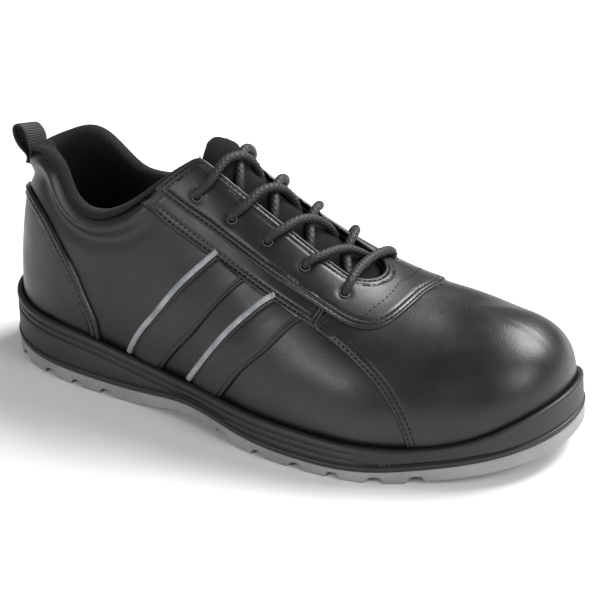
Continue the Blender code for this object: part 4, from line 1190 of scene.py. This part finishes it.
add_piece("webbing_loop", mesh_from_grids("webbing_loop", [(loops, None, True)], CORD_WELD), cord_finish,
          "textile", "pull_loop")

# Footbed: a flat foam insole with a black cloth face. It is cut to shape and laid loose in the sole's cup.
def sole_row(at, side, grow, line, up):
    """A row of points round the sole: outwards from the upper's edge, and up from a side line."""
    x, y = outline(at, side, grow * MM)
    return np.stack([x, y, np.maximum(sole_height(line, x), 0) + up * MM], -1)


def to_centre(row, at):
    """A row moved inwards to the sole's centre line."""
    middle = row.copy()
    middle[:, 1] = section("centre", at) * BALL_WIDTH
    return middle


FOOTBED_ROWS = [
    # outwards from the upper, up from the cup's floor
    (-3.1, 0.3), (-3.1, 3.6), (-3.6, 4.3), (-4.6, 4.5),
]
grids = []
foot_at = np.linspace(0, 1, 120)
for side in (OUTER, INNER):
    rows = [sole_row(foot_at, side, grow, "floor", up) for grow, up in FOOTBED_ROWS]
    edge, middle = rows[-1], to_centre(rows[-1], foot_at)
    rows += [edge + (middle - edge) * share for share in np.linspace(0, 1, 14)[1:]]
    points = np.stack(rows, axis=1)
    grids.append((points, points[..., :2].copy(), side == INNER))
add_piece("footbed", mesh_from_grids("footbed", grids), KNIT, "textile", "insole")

# Midsole: black injected foam rubber. Round the top runs a rounded flange, then two thin bands with grooves
# between them, a smooth wall that shrinks towards the toe, and a bead at the foot.
BAND_STACK = 8.4 * MM
WALL_FOOT = 3.8 * MM


def rubber_material(name, dark, light, low, high, grain):
    """Moulded rubber: a fine matt skin, slightly uneven, with soft flow marks."""
    made, tree, shader = finish_of(name, light, 0.5)
    cloud = noise(tree, 45.0, 4.0)
    coloured(tree, shader, ranged(tree, cloud, 0.3, 0.7, 0, 1), dark, light)
    tree.links.new(ranged(tree, cloud, 0.3, 0.7, low, high), shader.inputs["Roughness"])
    bumped(tree, shader, noise(tree, 2200.0, 2.0), 0.4, grain)
    return made


BAND_ROWS = [
    # outwards from the upper, down from the rim
    (0.4, 2.0), (0.5, 0.9), (1.1, 0.2), (2.0, 0.0), (2.9, 0.25), (3.6, 0.8), (3.95, 1.5), (4.05, 2.4),
    (3.9, 3.3), (3.5, 3.8), (2.9, 4.1), (2.8, 4.3), (2.9, 4.5), (3.5, 4.8), (3.75, 5.3), (3.8, 6.0),
    (3.75, 6.7), (3.5, 7.2), (3.05, 7.5), (2.95, 7.7), (3.1, 7.95), (3.6, 8.2), (3.9, 8.6),
]
WALL_ROWS = [
    # outwards from the upper, up from the joint
    (3.95, 4.2), (3.95, 3.6), (3.6, 3.25), (3.4, 3.05), (3.6, 2.85), (4.3, 2.6), (4.65, 2.1), (4.7, 1.4),
    (4.5, 0.7), (4.0, 0.2), (3.6, 0.0), (0.0, 0.0),
]
BLACK_RUBBER = rubber_material("black_rubber", (0.007, 0.0062, 0.0062), (0.012, 0.0108, 0.0105), 0.42, 0.56,
                               0.04 * MM)
sole_at = (1 - np.cos(np.linspace(0, math.pi, 361))) / 2 * 0.35 + np.linspace(0, 1, 361) * 0.65
grids = []
for side in (OUTER, INNER):
    rows = []
    for grow, down in BAND_ROWS:
        x, y = outline(sole_at, side, grow * MM)
        if down > 3.2:
            x, y = outline(sole_at, side, (grow + (3.95 - grow) * ease((x - 200 * MM) / (38 * MM))) * MM)
        rim, joint = sole_height("rim", x), sole_height("joint", x)
        fit = np.minimum((rim - joint - WALL_FOOT) / BAND_STACK, 1)
        rows.append(np.stack([x, y, rim - down * MM * fit], -1))
    rows += [sole_row(sole_at, side, grow, "joint", up) for grow, up in WALL_ROWS]
    rows.append(to_centre(rows[-1], sole_at))
    grids.append((np.stack(rows, axis=1), None, side == OUTER))
add_piece("midsole_rubber", mesh_from_grids("midsole_rubber", grids), BLACK_RUBBER, "midsole", "midsole")

# Outsole: the grey rubber tread layer under the same side lines. Its lugs are moulded: short notches open
# to the heel's sides, gaps right across the forefoot and two long ones between them.
LUG_GAP = 8 * MM
LUG_DEPTH = 3.1 * MM
HEEL_PAD_WIDTH = 26 * MM
RIB_SPACING = 42 * MM
HEEL_NOTCHES = (0.053, 0.119, 0.179, 0.238)
FOREFOOT_GAPS = (0.480, 0.559, 0.631, 0.697, 0.763, 0.822)
GAP_PROFILE = [
    # share of the width from the middle, share of the depth
    (0.0, 1.0), (0.24, 0.96), (0.38, 0.78), (0.46, 0.45), (0.50, 0.0),
]
TREAD_ROWS = [
    # outwards from the upper, up from the tread
    (4.3, 1.6), (4.2, 0.9), (4.0, 0.35), (3.6, 0.0),
]


def lug_gap(x, y):
    """How far the gaps between the lugs go up at a place of the tread."""
    def gap(distance):
        return np.interp(np.abs(distance) / LUG_GAP, *zip(*GAP_PROFILE))

    first, last = FOREFOOT_GAPS[0] * SOLE_LENGTH, FOREFOOT_GAPS[-1] * SOLE_LENGTH
    gaps = [gap(x - at * SOLE_LENGTH) for at in FOREFOOT_GAPS]
    beside_pad = ease((np.abs(y) - HEEL_PAD_WIDTH / 2) / (1 * MM))
    gaps += [gap(x - at * SOLE_LENGTH) * beside_pad for at in HEEL_NOTCHES]
    gaps += [gap(y - side * RIB_SPACING / 2 - 0.05 * (x - first)) * (x > first) * (x < last)
             for side in (OUTER, INNER)]
    return LUG_DEPTH * np.max(gaps, axis=0)


grids = []
for side in (OUTER, INNER):
    rows = [sole_row(sole_at, side, grow, "joint", -down) for grow, down in ((3.9, 0.3), (4.3, 1.3))]
    rows.insert(0, to_centre(rows[0], sole_at))
    for grow, up in TREAD_ROWS:
        row = sole_row(sole_at, side, grow, "tread", up)
        row[:, 2] = np.minimum(row[:, 2] + lug_gap(*row[:, :2].T), rows[2][:, 2] - (4.3 - up) * 0.05 * MM)
        rows.append(row)
    rim, centre = rows[-1], to_centre(rows[-1], sole_at)
    for share in np.linspace(0, 1, 46)[1:]:
        row = rim + (centre - rim) * share
        row[:, 2] = np.maximum(sole_height("tread", row[:, 0]), 0) + lug_gap(*row[:, :2].T)
        rows.append(row)
    grids.append((np.stack(rows, axis=1), None, side == OUTER))
tread_mesh = mesh_from_grids("outsole_rubber", grids)
tread_mesh.set_sharp_from_angle(angle=math.radians(40))
GREY_RUBBER = rubber_material("grey_rubber", (0.20, 0.205, 0.205), (0.28, 0.285, 0.285), 0.55, 0.68,
                              0.05 * MM)
add_piece("outsole_rubber", tread_mesh, GREY_RUBBER, "outsole", "outsole")

# Stitches: bonded black thread, one short oval for each stitch, set along the rows kept above.
STITCH_PITCH = 2.7 * MM
THREAD, tree, shader = finish_of("black_thread", (0.0035, 0.0035, 0.0035), 0.7)
shader.inputs["Specular IOR Level"].default_value = 0.2


def stitch_tree():
    """Sets an oval on each point, turned along its row and out from the leather."""
    tree = bpy.data.node_groups.new("stitches", "GeometryNodeTree")
    tree.interface.new_socket("Points", in_out="INPUT", socket_type="NodeSocketGeometry")
    for label, value in (("Length", 2.2 * MM), ("Width", 0.75 * MM), ("Height", 0.55 * MM)):
        made = tree.interface.new_socket(label, in_out="INPUT", socket_type="NodeSocketFloat")
        made.default_value = value
    tree.interface.new_socket("Thread", in_out="INPUT", socket_type="NodeSocketMaterial")
    tree.interface.new_socket("Stitches", in_out="OUTPUT", socket_type="NodeSocketGeometry")
    given = add_node(tree, "NodeGroupInput")
    ball = add_node(tree, "GeometryNodeMeshUVSphere", {"Segments": 6, "Rings": 4, "Radius": 0.5})
    along, out = (add_node(tree, "GeometryNodeInputNamedAttribute", {"Name": label},
                           data_type="FLOAT_VECTOR").outputs["Attribute"] for label in ("along", "out"))
    turn = add_node(tree, "FunctionNodeAlignRotationToVector", {"Vector": along}, axis="X")
    turn = add_node(tree, "FunctionNodeAlignRotationToVector", {"Rotation": turn.outputs[0], "Vector": out},
                    axis="Z", pivot_axis="X")
    size = add_node(tree, "ShaderNodeCombineXYZ", {0: given.outputs["Length"], 1: given.outputs["Width"],
                                                   2: given.outputs["Height"]})
    set_on = add_node(tree, "GeometryNodeInstanceOnPoints",
                      {"Points": given.outputs["Points"], "Instance": ball.outputs["Mesh"],
                       "Rotation": turn.outputs[0], "Scale": size.outputs[0]})
    real = add_node(tree, "GeometryNodeRealizeInstances", {0: set_on.outputs[0]})
    smooth_faces = add_node(tree, "GeometryNodeSetShadeSmooth", {0: real.outputs[0]})
    dressed = add_node(tree, "GeometryNodeSetMaterial",
                       {"Geometry": smooth_faces.outputs[0], "Material": given.outputs["Thread"]})
    add_node(tree, "NodeGroupOutput", {0: dressed.outputs[0]})
    return tree


def stitched(name, paths, pitch):
    """One mesh of stitches for a list of rows."""
    places, alongs, outs = [], [], []
    for points, normals in paths:
        if len(points) < 3:
            continue
        run = arc_lengths(points)
        count = max(int(run[-1] / pitch), 2)
        at = (np.arange(count) + 0.5) * run[-1] / count
        place = np.stack([np.interp(at, run, points[:, axis]) for axis in range(3)], -1)
        ahead = np.stack([np.interp(at + 0.4 * MM, run, points[:, axis]) for axis in range(3)], -1) - place
        out = np.stack([np.interp(at, run, normals[:, axis]) for axis in range(3)], -1)
        places.append(place - np.array([HEEL_REST_AT, 0, 0]))
        alongs.append(unit(ahead))
        outs.append(unit(out))
    places, alongs, outs = (np.concatenate(each) for each in (places, alongs, outs))
    mesh = bpy.data.meshes.new(name + "_points")
    mesh.from_pydata(places.tolist(), [], [])
    for label, values in (("along", alongs), ("out", outs)):
        attribute = mesh.attributes.new(label, "FLOAT_VECTOR", "POINT")
        attribute.data.foreach_set("vector", values.astype(np.float32).ravel())
    holder = bpy.data.objects.new(name + "_points", mesh)
    bpy.context.scene.collection.objects.link(holder)
    modifier = holder.modifiers.new("stitches", "NODES")
    tree = stitch_tree()
    modifier.node_group = tree
    given = {item.name: item.identifier for item in tree.interface.items_tree if item.in_out == "INPUT"}
    modifier[given["Thread"]] = THREAD
    return plain_mesh(name, holder)


add_piece("stitches", stitched("stitches", STITCH_PATHS, STITCH_PITCH), THREAD, "cord")

# Floor and light: a pale floor that runs on to the horizon, a wide soft box overhead behind the toe, and two
# weaker ones from the toe's side and from the outer side, as in a small product studio.
floor_mesh = bpy.data.meshes.new("floor")
floor_mesh.from_pydata([(-6, -6, 0), (6, -6, 0), (6, 6, 0), (-6, 6, 0)], [], [(0, 1, 2, 3)])
floor = bpy.data.objects.new("floor", floor_mesh)
bpy.context.scene.collection.objects.link(floor)
floor_finish, tree, shader = finish_of("pale_floor", (0.86, 0.86, 0.86), 0.8)
coloured(tree, shader, noise(tree, 3.0, 2.0), (0.85, 0.85, 0.85), (0.88, 0.88, 0.88))
floor_mesh.materials.append(floor_finish)


def soft_box(name, place, target, width, height, power):
    """A rectangular soft light aimed at a point."""
    light = bpy.data.lights.new(name, "AREA")
    light.shape = "RECTANGLE"
    light.size = width
    light.size_y = height
    light.energy = power
    lamp = bpy.data.objects.new(name, light)
    lamp.location = place
    lamp.rotation_euler = (Vector(target) - Vector(place)).to_track_quat("-Z", "Y").to_euler()
    bpy.context.scene.collection.objects.link(lamp)


soft_box("overhead", (0.62, 0.80, 1.15), (0.15, 0, 0.05), 0.9, 0.7, 38)
soft_box("toe_side", (1.3, -0.3, 0.7), (0.15, 0, 0.05), 0.6, 0.6, 8)
soft_box("outer_side", (-0.35, -1.4, 0.62), (0.1, 0, 0.05), 0.9, 0.5, 8)
world = bpy.data.worlds.new("studio")
world.use_nodes = True
world.node_tree.nodes["Background"].inputs["Color"].default_value = (0.92, 0.93, 0.95, 1)
world.node_tree.nodes["Background"].inputs["Strength"].default_value = 0.30
bpy.context.scene.world = world
bpy.context.scene.view_settings.view_transform = "Standard"
